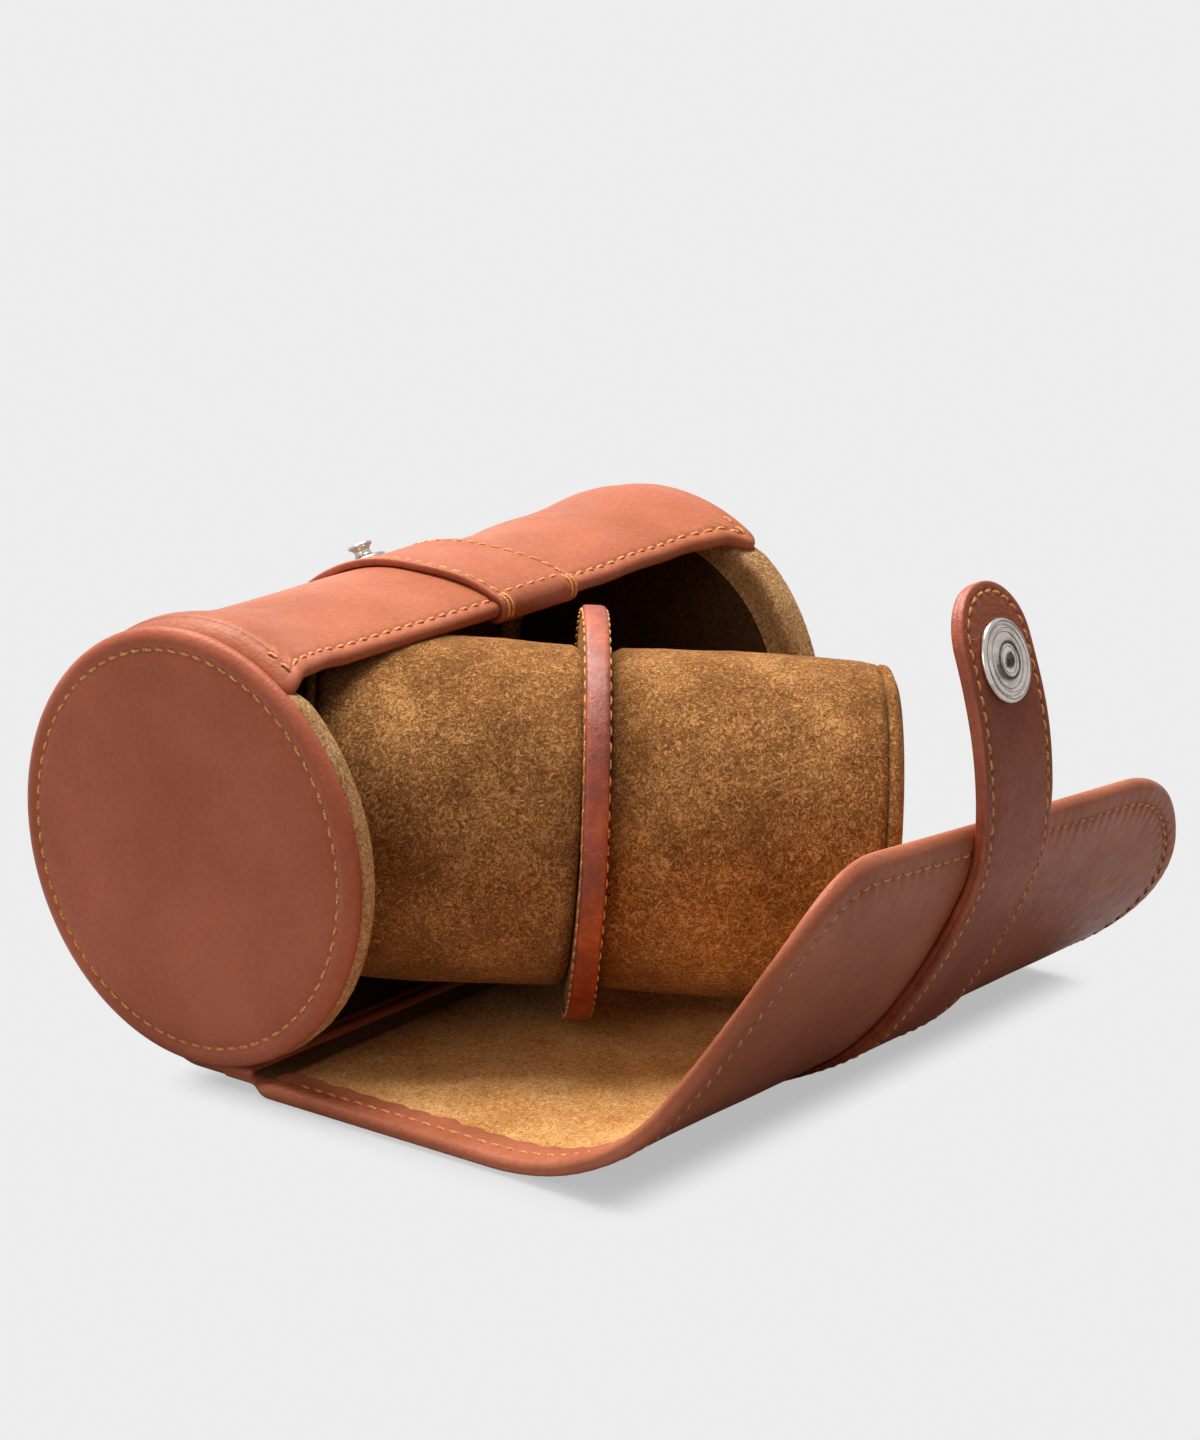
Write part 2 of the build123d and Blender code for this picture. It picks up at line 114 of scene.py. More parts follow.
class Shader:
    """A Principled material with its texture nodes, sizes in millimetres."""

    def __init__(self, name, roughness, metallic=0.0, **sockets):
        self.material = bpy.data.materials.new(name)
        self.material.use_nodes = True
        self.tree = self.material.node_tree
        self.shader = self.tree.nodes["Principled BSDF"]
        for key, value in {"Roughness": roughness, "Metallic": metallic, **sockets}.items():
            self.shader.inputs[key.replace("_", " ")].default_value = value
        self.place = self.tree.nodes.new("ShaderNodeTexCoord").outputs["Object"]
        self.height = None

    def add(self, kind, **inputs):
        """Node with its inputs linked or set; i0, i1... are inputs by number."""
        node = self.tree.nodes.new(kind)
        for key, value in inputs.items():
            socket = node.inputs[int(key[1:]) if key[0] == "i" and key[1:].isdigit() else key.replace("_", " ")]
            if isinstance(value, bpy.types.NodeSocket):
                self.tree.links.new(value, socket)
            else:
                socket.default_value = value
        return node

    def noise(self, size, detail=3.0, roughness=0.6, distortion=0.0):
        settings = {"Detail": detail, "Roughness": roughness, "Distortion": distortion}
        return self.add("ShaderNodeTexNoise", Vector=self.place, Scale=1 / (size * MM), **settings).outputs["Fac"]

    def cells(self, size):
        return self.add("ShaderNodeTexVoronoi", Vector=self.place, Scale=1 / (size * MM)).outputs["Distance"]

    def span(self, value, low, high, to_low=0.0, to_high=1.0):
        return self.add("ShaderNodeMapRange", i0=value, i1=low, i2=high, i3=to_low, i4=to_high).outputs[0]

    def math(self, operation, a, b):
        node = self.add("ShaderNodeMath", i0=a, i1=b)
        node.operation = operation
        return node.outputs[0]

    def weigh(self, *parts):
        """Sum of (value, weight) pairs."""
        total = None
        for value, weight in parts:
            part = self.math("MULTIPLY", value, weight)
            total = part if total is None else self.math("ADD", total, part)
        return total

    def paint(self, value, *stops):
        """Base colour from a ramp of (position, sRGB colour) stops."""
        node = self.add("ShaderNodeValToRGB", Fac=value)
        elements = node.color_ramp.elements
        while len(elements) < len(stops):
            elements.new(0.5)
        for element, (position, colour) in zip(elements, stops):
            element.position, element.color = position, linear(*colour)
        self.tree.links.new(node.outputs[0], self.shader.inputs["Base Color"])

    def dull(self, value, low, high):
        """Roughness between two values."""
        self.tree.links.new(self.span(value, 0.3, 0.7, low, high), self.shader.inputs["Roughness"])

    def relief(self, height, distance):
        """Adds a height in 0..1, worth `distance` millimetres, on top of the ones before it."""
        node = self.add("ShaderNodeBump", Height=height, Distance=distance * MM, Strength=1.0)
        if self.height is not None:
            self.tree.links.new(self.height, node.inputs["Normal"])
        self.height = node.outputs[0]
        self.tree.links.new(self.height, self.shader.inputs["Normal"])


def leather(name, low, middle, high, grain=0.05):
    """Smooth leather: soft clouds of tone and a fine pebbled grain."""
    made = Shader(name, 0.42, Specular_IOR_Level=0.2, Specular_Tint=linear(250, 200, 170))
    tone = made.weigh((made.noise(26, 4, 0.55), 0.7), (made.noise(1.1, 3, 0.7), 0.3))
    made.paint(tone, (0.38, low), (0.5, middle), (0.62, high))
    made.dull(made.noise(3.0), 0.35, 0.52)
    made.relief(made.math("ADD", made.cells(0.75), made.math("MULTIPLY", made.noise(0.32, 2), 0.6)), grain)
    made.relief(made.noise(5, 2, 0.5), 0.18)
    return made.material


def suede(name, low, middle, high, nap=0.3):
    """Napped leather: curled fibres over soft blotches."""
    sheen = {"Sheen_Weight": 0.3, "Sheen_Roughness": 0.4, "Sheen_Tint": linear(250, 196, 132)}
    made = Shader(name, 0.95, Specular_IOR_Level=0.1, **sheen)
    cloud = made.noise(15, 4, 0.6)
    curl = made.noise(1.35, 3, 0.62, 2.4)
    strand = made.noise(0.5, 3, 0.7, 2.0)
    made.paint(made.weigh((cloud, 0.2), (curl, 0.42), (strand, 0.38)), (0.41, low), (0.5, middle), (0.59, high))
    made.relief(curl, nap * 1.5)
    made.relief(strand, nap)
    made.relief(cloud, 0.6)
    return made.material


def painted_edge(name, low, middle, high):
    """Cut leather edge under paint, streaked."""
    made = Shader(name, 0.38, Specular_IOR_Level=0.5, Coat_Weight=0.1, Coat_Roughness=0.3)
    streak = made.noise(1.6, 5, 0.75, 0.6)
    made.paint(made.weigh((made.noise(12, 3, 0.5), 0.5), (streak, 0.5)), (0.36, low), (0.5, middle), (0.66, high))
    made.dull(made.noise(2.2, 4), 0.3, 0.5)
    made.relief(made.noise(0.5, 4, 0.7), 0.12)
    made.relief(streak, 0.12)
    return made.material


TAN = leather("Tan leather", (156, 85, 58), (168, 95, 67), (181, 106, 77))
CAP_LEATHER = leather("Cap leather", (160, 84, 60), (170, 92, 67), (180, 100, 75))
STRAP_LEATHER = leather("Strap leather", (140, 70, 46), (154, 80, 55), (168, 92, 66), 0.07)
EDGE = painted_edge("Painted edge", (132, 52, 22), (160, 70, 34), (186, 92, 52))
DIVIDER_EDGE = painted_edge("Divider edge leather", (104, 36, 10), (148, 56, 20), (192, 92, 44))
SUEDE = suede("Brown suede", (98, 56, 24), (150, 96, 48), (222, 162, 100))
LINING = suede("Golden lining suede", (172, 112, 54), (224, 160, 92), (255, 210, 146), 0.2)
PAD_SUEDE = suede("Pad suede", (132, 90, 52), (188, 140, 92), (232, 190, 138), 0.25)
# Painted shade: a near-black brown copy of the lining suede, for places that stand in shade inside the mouth.
INNER_SHADE_SUEDE = suede("Inner suede", (40, 22, 10), (62, 38, 18), (88, 58, 32), 0.2)

made = Shader("Golden thread", 0.6, Specular_IOR_Level=0.35, Sheen_Weight=0.2, Sheen_Roughness=0.4)
twist = made.noise(0.35, 2, 0.6, 0.5)
made.paint(twist, (0.35, (160, 92, 40)), (0.5, (218, 142, 72)), (0.68, (250, 190, 118)))
made.relief(twist, 0.1)
THREAD_MATERIAL = made.material

made = Shader("Polished nickel", 0.2, 1.0)
made.paint(made.noise(2.5, 4), (0.3, (176, 166, 158)), (0.7, (214, 206, 198)))
made.dull(made.noise(0.9, 4, 0.7), 0.14, 0.3)
made.relief(made.noise(0.6), 0.012)
NICKEL = made.material

made = Shader("Stiffening board", 0.85, Specular_IOR_Level=0.2)
fleck = made.noise(0.6, 4, 0.7)
made.paint(fleck, (0.3, (150, 132, 108)), (0.7, (196, 180, 154)))
made.relief(fleck, 0.08)
BOARD = made.material

# ---- meshes


def make(name, verts, faces, materials, slot, kinds=None, normals=None):
    """Piece from points in millimetres, smooth shaded."""
    mesh = bpy.data.meshes.new(name)
    mesh.from_pydata([(x * MM, y * MM, z * MM) for x, y, z in verts], [], faces)
    mesh.validate()
    piece = bpy.data.objects.new(name, mesh)
    scene.collection.objects.link(piece)
    for material in materials if isinstance(materials, (list, tuple)) else [materials]:
        mesh.materials.append(material)
    if kinds and len(kinds) == len(mesh.polygons):
        mesh.polygons.foreach_set("material_index", kinds)
    mesh.polygons.foreach_set("use_smooth", [True] * len(mesh.polygons))
    mesh.update()
    if normals:
        mesh.normals_split_custom_set_from_vertices(normals)
    return piece


def dress(name, mesh, materials, slot, body, nodes, kinds=None):
    """Piece from (verts, faces) that rides one body and stands for CAD nodes."""
    piece = make(name, *mesh, materials, slot, kinds)
    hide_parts(*nodes)
    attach(piece, body)
    return piece


def flipped(mesh):
    verts, faces = mesh
    return verts, [face[::-1] for face in faces]


def vertex_normals(verts, faces):
    totals = [Vector() for _ in verts]
    for face in faces:
        a, b, c = (Vector(verts[i]) for i in face[:3])
        area = (b - a).cross(c - a)
        for i in face:
            totals[i] += area
    return [tuple(t.normalized()) for t in totals]


def turned(centre, arm, angle):
    """The end of an arm turned about its centre."""
    return (
        centre.x + arm.x * cos(angle) - arm.y * sin(angle),
        centre.y + arm.x * sin(angle) + arm.y * cos(angle),
    )


def run_sums(route):
    """Length along a route of (x, s) points at each of them."""
    sums = [0.0]
    for a, b in zip(route, route[1:]):
        sums.append(sums[-1] + sqrt((b[0] - a[0]) ** 2 + (b[1] - a[1]) ** 2))
    return sums


def closed(points):
    return points + [points[0]]


class Outline:
    """Closed counter-clockwise outline with rounded corners, each given as (x, s, radius)."""

    def __init__(self, corners, spacing=0.8):
        self.corners = corners
        self.counts = self._plan(spacing)

    def _bends(self, inset):
        bends = []
        for i, corner in enumerate(self.corners):
            p, q, r = (Vector(c[:2]) for c in (self.corners[i - 1], corner, self.corners[(i + 1) % len(self.corners)]))
            along, onward = (q - p).normalized(), (r - q).normalized()
            n1, n2 = Vector((-along.y, along.x)), Vector((-onward.y, onward.x))
            tip = q + (n1 + n2) / (1 + n1.dot(n2)) * inset
            turn = acos(max(-1, min(1, along.dot(onward))))
            radius = max(corner[2] - inset, 0.02)
            start = tip - along * radius * (sin(turn / 2) / cos(turn / 2))
            bends.append((start + n1 * radius, -n1 * radius, turn, start))
        return bends

    def _plan(self, spacing):
        bends = self._bends(0)
        counts = []
        for i, (centre, arm, turn, start) in enumerate(bends):
            gap = (bends[(i + 1) % len(bends)][3] - Vector(turned(centre, arm, turn))).length
            counts.append((max(2, ceil(arm.length * turn / spacing)), max(1, round(gap / spacing))))
        return counts

    def at(self, inset):
        """Points of the outline moved inwards, as many at every inset."""
        bends = self._bends(inset)
        points = []
        for i, (centre, arm, turn, start) in enumerate(bends):
            arc, run = self.counts[i]
            points += [turned(centre, arm, turn * k / arc) for k in range(arc)]
            end, follow = Vector(turned(centre, arm, turn)), bends[(i + 1) % len(bends)][3]
            points += [tuple(end.lerp(follow, k / run)) for k in range(run)]
        return points

    def lengths(self, inset):
        """Length along the outline at each of its points."""
        return run_sums(closed(self.at(inset)))[:-1]


class Surface:
    """Points and faces of a sheet, with the length along the sheet of each point kept for cutting it."""

    def __init__(self):
        self.verts, self.faces, self.kinds, self.flat = [], [], [], []

    def row(self, points, depths, place):
        first = len(self.verts)
        self.verts += [place(x, s, depth) for (x, s), depth in zip(points, depths)]
        self.flat += points
        return list(range(first, len(self.verts)))

    def join(self, a, b, kind=0, flip=False):
        n = len(a)
        for i in range(n):
            quad = (a[i], a[(i + 1) % n], b[(i + 1) % n], b[i])
            self.faces.append(quad[::-1] if flip else quad)
            self.kinds.append(kind)

    def strips(self, rows, points, waves, place, start=None, inner=False, painted=-1.0):
        """Rings for (inset, depth) rows, each joined to the one before it, or to a start ring.

        points(inset) gives a ring's points and waves(inset) how far the leather sinks at them.
        """
        rings = [start] if start else []
        turn = -1 if inner else 1
        for inset, depth in rows:
            rings.append(self.row(points(inset), [depth + turn * sunk for sunk in waves(inset)], place))
            if len(rings) > 1:
                self.join(rings[-2], rings[-1], 1 if inset <= painted else 0, flip=inner)
        return rings

    def fill(self, ring, grid, depth, place, flip=False):
        """Closes a ring with a fine even grid of points."""
        border = [Vector(self.flat[i]) for i in ring]
        xs, ys = [p.x for p in border], [p.y for p in border]
        edges = list(zip(border, border[1:] + border[:1]))
        inner = []
        y = min(ys) + grid / 2
        while y < max(ys):
            crossings = sorted(
                a.x + (y - a.y) * (b.x - a.x) / (b.y - a.y) for a, b in edges if (a.y <= y) != (b.y <= y)
            )
            for left, right in zip(crossings[::2], crossings[1::2]):
                count = max(1, int((right - left - grid) / grid))
                for k in range(count + 1):
                    inner.append((left + grid * 0.6 + (right - left - grid * 1.2) * k / count, y))
            y += grid
        inner = [p for p in inner if min(ys) + grid * 0.45 < p[1] < max(ys) - grid * 0.45]
        points = border + [Vector(p) for p in inner]
        made = delaunay_2d_cdt(points, [], [list(range(len(border)))], 1, 1e-5)
        index = {}
        for new, sources in enumerate(made[3]):
            if sources and sources[0] < len(ring):
                index[new] = ring[sources[0]]
            else:
                x, s = made[0][new]
                index[new] = len(self.verts)
                self.verts.append(place(x, s, depth(x, s)))
                self.flat.append((x, s))
        for face in made[2]:
            triangle = tuple(index[i] for i in face)
            self.faces.append(triangle[::-1] if flip else triangle)
            self.kinds.append(0)

    def cut(self, pick):
        """Parts of the mesh by the value of pick(x, s) at each face's middle, with the whole's normals."""
        normals = vertex_normals(self.verts, self.faces)
        parts = {}
        for face, kind in zip(self.faces, self.kinds):
            x = sum(self.flat[i][0] for i in face) / len(face)
            s = sum(self.flat[i][1] for i in face) / len(face)
            parts.setdefault(pick(x, s), []).append((face, kind))
        made = {}
        for key, chosen in parts.items():
            used = sorted({i for face, _ in chosen for i in face})
            index = {old: new for new, old in enumerate(used)}
            made[key] = (
                [self.verts[i] for i in used],
                [tuple(index[i] for i in face) for face, _ in chosen],
                [kind for _, kind in chosen],
                [normals[i] for i in used],
            )
        return made


def rolled(thick, radius, steps=6):
    """Insets and depths of a rounded edge, for the outer and the inner face."""
    rows = []
    for k in range(steps + 1):
        a = pi / 2 * k / steps
        rows.append((radius * (1 - cos(a)), thick / 2 * (1 - sin(a)), thick / 2 * (1 + sin(a))))
    return rows


def threads(route, stitches, place, depth, radius=THREAD, share=0.74, slant=0.1, sink=0.34):
    """Tubes that dive in at both ends, for stitches given as pairs of lengths along a route of (x, s) points."""
    sums = run_sums(route)

    def spot(length, side):
        low = min(len(sums) - 2, bisect_right(sums, length) - 1)
        gap = sums[low + 1] - sums[low] or 1
        t = (length - sums[low]) / gap
        a, b = route[low], route[low + 1]
        dx, ds = (b[0] - a[0]) / gap, (b[1] - a[1]) / gap
        return a[0] + dx * gap * t - ds * side, a[1] + ds * gap * t + dx * side

    verts, faces = [], []
    for start, end in stitches:
        step = end - start
        middle = start + 0.5 * step
        rings = []
        for j in range(7):
            u = -1 + j / 3
            x, s = spot(min(sums[-1] - 1e-6, max(0, middle + u * step * share / 2)), slant * u)
            rise = depth + sink * u**4 - 0.12 * (1 - u * u)
            here, above = Vector(place(x, s, rise)), Vector(place(x, s, rise - 0.2))
            rings.append((here, (above - here).normalized(), radius * (0.55 if abs(u) == 1 else 1)))
        first = len(verts)
        for j, (here, up, r) in enumerate(rings):
            ahead = (rings[min(6, j + 1)][0] - rings[max(0, j - 1)][0]).normalized()
            side = ahead.cross(up).normalized()
            up = side.cross(ahead)
            for c in range(6):
                a = tau * c / 6
                verts.append(tuple(here + side * r * 1.1 * cos(a) + up * r * 0.85 * sin(a)))
        for j in range(6):
            for c in range(6):
                p, q = first + j * 6 + c, first + j * 6 + (c + 1) % 6
                faces.append((p, q, q + 6, p + 6))
        faces.append(tuple(first + c for c in range(5, -1, -1)))
        faces.append(tuple(first + 36 + c for c in range(6)))
    return verts, faces


def spin(profile, turns, point):
    """Surface of revolution from (radius, station) pairs; point(radius, angle, station) gives the place."""
    verts, faces, rows = [], [], []
    for r, x in profile:
        if r < 1e-6:  # on the axis
            rows.append([len(verts)])
            verts.append(point(0, 0, x))
        else:
            rows.append(list(range(len(verts), len(verts) + turns)))
            verts.extend(point(r, tau * k / turns, x) for k in range(turns))
    for a, b in zip(rows, rows[1:]):
        for k in range(turns):
            quad = (a[k % len(a)], b[k % len(b)], b[(k + 1) % len(b)], a[(k + 1) % len(a)])
            faces.append(tuple(dict.fromkeys(quad)))  # a triangle beside the axis
    return verts, faces


def metal(node, profile, turns, foot, axes, body, flip=False):
    """Snap part turned about the last of three axes; flip when they are left-handed."""
    side, up, out = axes
    mesh = spin(profile, turns, lambda r, a, h: tuple(foot + side * r * cos(a) + up * r * sin(a) + out * h))
    dress(f"{node}_dress", flipped(mesh) if flip else mesh, NICKEL, "nickel", body, [node])


# ---- camera

camera_data = bpy.data.cameras.new("Camera")
camera = bpy.data.objects.new("Camera", camera_data)
scene.collection.objects.link(camera)
camera_data.sensor_fit = "VERTICAL"
camera_data.sensor_height = 36
camera_data.lens = 100
camera_data.clip_start, camera_data.clip_end = 0.01, 50
yaw, pitch = radians(51.94), radians(16.19)
ahead = Vector((cos(pitch) * sin(yaw), cos(pitch) * cos(yaw), -sin(pitch)))
camera.location = Vector((-553.7, -464.3, 261.2)) * MM
camera.rotation_euler = ahead.to_track_quat("-Z", "Y").to_euler()
scene.camera = camera

# ---- flap


def arc_to(point, direction, length, turn):
    if abs(turn) < 0.001:
        a = radians(direction)
        return (point[0] - length * cos(a), point[1] + length * sin(a)), direction
    radius = length / radians(turn)
    a, b = radians(direction), radians(direction + turn)
    return (point[0] - radius * (sin(b) - sin(a)), point[1] + radius * (cos(a) - cos(b))), direction + turn


def chain_point(side, panel, along, depth):
    point, direction = (AXIS_Y, 0.0), 0.0
    for length, turn in side[:panel]:
        point, direction = arc_to(point, direction, length, turn)
    length, turn = side[panel]
    point, direction = arc_to(point, direction, along, turn * along / length)
    a = radians(direction)
    return (point[0] + depth * sin(a), point[1] + depth * cos(a))


def flap_point(x, s, depth):
    """Place on the flap; s runs from the front of the heel, depth from the outer face inwards."""
    share = (x + FLAP_HALF) / (2 * FLAP_HALF)
    panel, start = 1, 0.0
    while True:
        length = LEFT[panel][0] + (RIGHT[panel][0] - LEFT[panel][0]) * share
        if s <= start + length or panel == 4:
            break
        start += length
        panel += 1
    along = (s - start) / length
    a = chain_point(LEFT, panel, LEFT[panel][0] * along, depth)
    b = chain_point(RIGHT, panel, RIGHT[panel][0] * along, depth)
    return (x, a[0] + (b[0] - a[0]) * share, a[1] + (b[1] - a[1]) * share)


CURL, CURL_START = 0.0153, 131


def curled(x, s, depth):
    """The flap with its free edge drawn inwards by the strap."""
    x, y, z = flap_point(x, s, depth)
    return (x, y + CURL * max(0, s - CURL_START) ** 2, z)


ROOT, ROOT_OF_FRONT = -10.0, 102.0
TOP_LEFT_S, TOP_RIGHT_S = 150.4, 136.0
HEM_WIDTH = 8.6
HEM_STITCH = 4.4

flap_corners = [
    (-FLAP_HALF, ROOT, 0.6), (FLAP_HALF, ROOT, 0.6), (FLAP_HALF, ROOT_OF_FRONT, 60),
    (FLAP_TIP_HALF, TOP_RIGHT_S, 32), (-FLAP_TIP_HALF, TOP_LEFT_S, 23), (-FLAP_HALF, ROOT_OF_FRONT, 60),
]
flap_outline = Outline(flap_corners)
stitch_sums = flap_outline.lengths(HEM_STITCH)


def hem_beats(pitch):
    """Phase of the stitches, one for each point along the hem."""
    return [tau * ((length / pitch) % 1.0) for length in stitch_sums]


def flap_place(x, s, depth):
    if s < 6:
        tuck = 0.5 + 0.5 * smooth(-3, 6, s)
        return (x * (0.945 + 0.055 * smooth(-4, 4, s)), flap_point(x, s, 0)[1], depth * tuck)
    ripple = 0.25 * wave(x, s, 3, 34) + 0.12 * wave(x, s, 9, 13)
    return curled(x, s, depth + ripple * smooth(56, 70, s) * (1 - smooth(125, 150, s)))


flap_rim = rolled(FLAP_THICK + 0.2, 1.7)
outer_groove = ((-0.7, 0.08), (-0.3, 0.22), (0, 0.34), (0.3, 0.22), (0.7, 0.08), (1.6, 0), (3.4, 0))
inner_groove = ((-0.8, 0.02), (-0.3, 0.3), (0, 0.42), (0.3, 0.3), (0.8, 0.08))
inner_border = ((1.2, 0.02), (0.5, 0.1), (0.1, 0.4), (0, 1.1))
outer_rows = [(inset, depth - 0.1) for inset, depth, _ in flap_rim]
outer_rows += [(2.4, -0.12), (3.2, -0.1), (4.0, 0.0)]
outer_rows += [(HEM_STITCH + past, depth) for past, depth in outer_groove]
inner_rows = [(inset, depth - 0.1) for inset, _, depth in flap_rim[1:]]
inner_rows += [(2.6, FLAP_THICK + 0.18), (3.6, FLAP_THICK + 0.16)]
inner_rows += [(HEM_STITCH + past, FLAP_THICK - sunk) for past, sunk in inner_groove]
inner_rows += [(HEM_WIDTH - before, FLAP_THICK - sunk) for before, sunk in inner_border]


def hem_edge_points(inset):
    """The hem's inner border, uneven where the leather is gathered by the stitches."""
    share = smooth(HEM_STITCH + 0.8, HEM_WIDTH, inset)
    near, far = flap_outline.at(inset - 0.5 * share), flap_outline.at(inset + 0.7 * share)
    points = []
    for a, b, beat in zip(near, far, hem_beats(STITCH * 2)):
        u = 0.5 + 0.32 * sin(beat) + 0.5 * wave(a[0], a[1], 1, 4.5)
        points.append((a[0] + (b[0] - a[0]) * u, a[1] + (b[1] - a[1]) * u))
    return points


def hem_dents(inset):
    """Leather pulled in at each needle hole and raised a little between the holes."""
    near, wide = bump(HEM_STITCH, 0.9, inset), bump(HEM_STITCH, 2.4, inset)
    return [near * 0.16 * cos(beat) + 0.1 * wide * cos(beat) for beat in hem_beats(STITCH)]


def level(x, s):
    return 0.0


flap_leather = Surface()
rings = flap_leather.strips(outer_rows, flap_outline.at, hem_dents, flap_place)
flap_leather.fill(rings[-1], 2.6, level, flap_place)
flap_leather.strips(inner_rows, hem_edge_points, hem_dents, flap_place, rings[0], inner=True)

flap_suede = Surface()
points = flap_outline.at(HEM_WIDTH - 1.6)[::2]
ring = flap_suede.row(points, [FLAP_THICK - 1.0] * len(points), flap_place)


def suede_depth(x, s):
    return FLAP_THICK - 0.75 - 0.25 * wave(x, s, 5, 18) - 0.1 * wave(x, s, 2, 6)


flap_suede.fill(ring, 2.4, suede_depth, flap_place)

BEND_MIDDLE, FRONT_MIDDLE = 77.6, 112.7
FOLDS = {
    "bend": ("case", "flap_bend", flap_point(0, 44, 1.4), flap_point(0, 66, 1.4)),
    "front": ("flap_bend", "flap_front", flap_point(0, 91, 1.4), flap_point(0, 111, 1.4)),
    "tip": ("flap_front", "flap_tip", flap_point(0, 115, 1.4), flap_point(0, 133, 1.4)),
    "neck": ("flap_tip", "strap_neck", flap_point(0, 138, 0), flap_point(0, 152, 0)),
}


def flap_part(x, s):
    return "bend" if s < BEND_MIDDLE else "front" if s < FRONT_MIDDLE else "tip"


def fold(piece, name):
    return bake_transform(piece)


def parts(label, surface, pick, materials, slot, nodes):
    """One piece for each part of a sheet; nodes(part) names what it stands for."""
    for part, (verts, faces, kinds, normals) in surface.cut(pick).items():
        piece = make(f"{label}_{part}", verts, faces, materials, slot, kinds, normals)
        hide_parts(*nodes(part))
        fold(piece, part)


FLAP_NODES = {"bend": ("floor", "bend"), "front": ("front",), "tip": ("tip",)}
parts(
    "flap_leather", flap_leather, flap_part, TAN, "tan_leather",
    lambda part: [f"flap_{node}_leather" for node in FLAP_NODES[part]],
)
parts(
    "flap_lining", flap_suede, flap_part, LINING, "suede",
    lambda part: [f"flap_{node}_suede" for node in FLAP_NODES[part]],
)


def split_threads(label, route, place, depth, pick, join, sewn=None, pitch=STITCH, **options):
    """Stitches on the sewn lengths of a route, as one piece per part of the sheet.

    pick(x, s) names the part and join(piece, part) is called on each piece.
    """
    sums = run_sums(route)
    start, end = sewn or (0, sums[-1])
    count = max(1, round((end - start) / pitch))
    step = (end - start) / count
    stitches = {}
    for k in range(count):
        at = min(len(sums) - 2, bisect_left(sums, start + (k + 0.5) * step) - 1)
        stitches.setdefault(pick(*route[at]), []).append((start + k * step, start + (k + 1) * step))
    for part, chosen in stitches.items():
        verts, faces = threads(route, chosen, place, depth, **options)
        join(make(f"{label}_{part}", verts, faces, THREAD_MATERIAL, "suede"), part)


def body_threads(body, label, part, route, place, depth, sewn=None, **options):
    """Stitches that ride one body, as one piece."""
    split_threads(
        label, route, place, depth, lambda x, s: part, lambda piece, _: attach(piece, body), sewn, **options
    )


def open_route(outline, inset, keep):
    """The run of an outline's points that keep(x, s) allows, in order."""
    points = outline.at(inset)
    start = next(i for i in range(len(points)) if keep(*points[i]) and not keep(*points[i - 1]))
    route = []
    for p in points[start:] + points[:start]:
        if not keep(*p):
            break
        route.append(p)
    return route


def flap_inside(x, s, depth):
    return flap_place(x, s, FLAP_THICK - 0.3 - depth)


HEM_END = 7
hem_route = closed(flap_outline.at(HEM_STITCH))
on_right = FLAP_HALF - HEM_STITCH - 0.5
hem_route = hem_route[next(i for i, p in enumerate(hem_route) if p[0] > on_right and p[1] > HEM_END) :]
hem_route = hem_route[: max(i for i, p in enumerate(hem_route) if p[1] > HEM_END) + 1]
split_threads("flap_thread_out", hem_route, flap_place, 0.2, flap_part, fold, slant=0.08)
split_threads("flap_thread_in", hem_route, flap_inside, 0.0, flap_part, fold, slant=-0.08)

# ---- strap

TOP_S = 143.0
TOE_S = TOP_S + STRAP_FREE
SNAP_S = TOE_S - SNAP_TO_TOE
STRAP_START = 69.4
STRAP_TWIST = 3.6


def heading_at(past):
    for (a, low), (b, high) in zip(STRAP_HEADINGS, STRAP_HEADINGS[1:]):
        if past <= b:
            return low + (high - low) * (past - a) / (b - a)
    return STRAP_HEADINGS[-1][1]


PATH_STEP = 0.25
strap_path = []
y, z = curled(STRAP_ASIDE, TOP_S, -STRAP_SEAT)[1:]
for step in range(int(STRAP_FREE / PATH_STEP) + 8):
    heading = sum(heading_at(max(0, step * PATH_STEP + k)) for k in (-3, -1.5, 0, 1.5, 3)) / 5
    strap_path.append((y, z, heading))
    y -= PATH_STEP * cos(radians(heading))
    z += PATH_STEP * sin(radians(heading))


def strap_place(x, s, depth):
    """Place on the strap; depth runs from its outer face inwards. Its sewn end is pared thin."""
    rise = (STRAP_THICK - depth) * (0.3 + 0.7 * smooth(78, 102, s))
    if s <= TOP_S:
        return curled(x + STRAP_ASIDE, s, -STRAP_SEAT - rise)
    at = min(len(strap_path) - 1.001, (s - TOP_S) / PATH_STEP)
    a, b, t = strap_path[int(at)], strap_path[int(at) + 1], at - int(at)
    y, z, heading = (p + (q - p) * t for p, q in zip(a, b))
    twist = radians(STRAP_TWIST) * smooth(TOP_S, TOE_S - 8, s)
    out_y, out_z = -sin(radians(heading)), -cos(radians(heading))
    side, root = curled(x + STRAP_ASIDE, TOP_S, -STRAP_SEAT), curled(STRAP_ASIDE, TOP_S, -STRAP_SEAT)
    edge = curled(x + STRAP_ASIDE, TOP_S, -STRAP_SEAT - rise)
    carry = 1 - smooth(TOP_S, TOP_S + 24, s)
    along = rise * cos(twist) - x * sin(twist)
    free = (
        x * cos(twist) + rise * sin(twist) + STRAP_ASIDE,
        y + (side[1] - root[1]) * carry + out_y * along,
        z + (side[2] - root[2]) * carry + out_z * along,
    )
    share = smooth(TOP_S, TOP_S + 5, s)
    onward, first = s - TOP_S, radians(strap_path[0][2])
    start = (edge[0], edge[1] - onward * cos(first), edge[2] + onward * sin(first))
    return tuple(p + (q - p) * share for p, q in zip(start, free))


def strap_inside(x, s, depth):
    return strap_place(x, s, STRAP_THICK - depth)


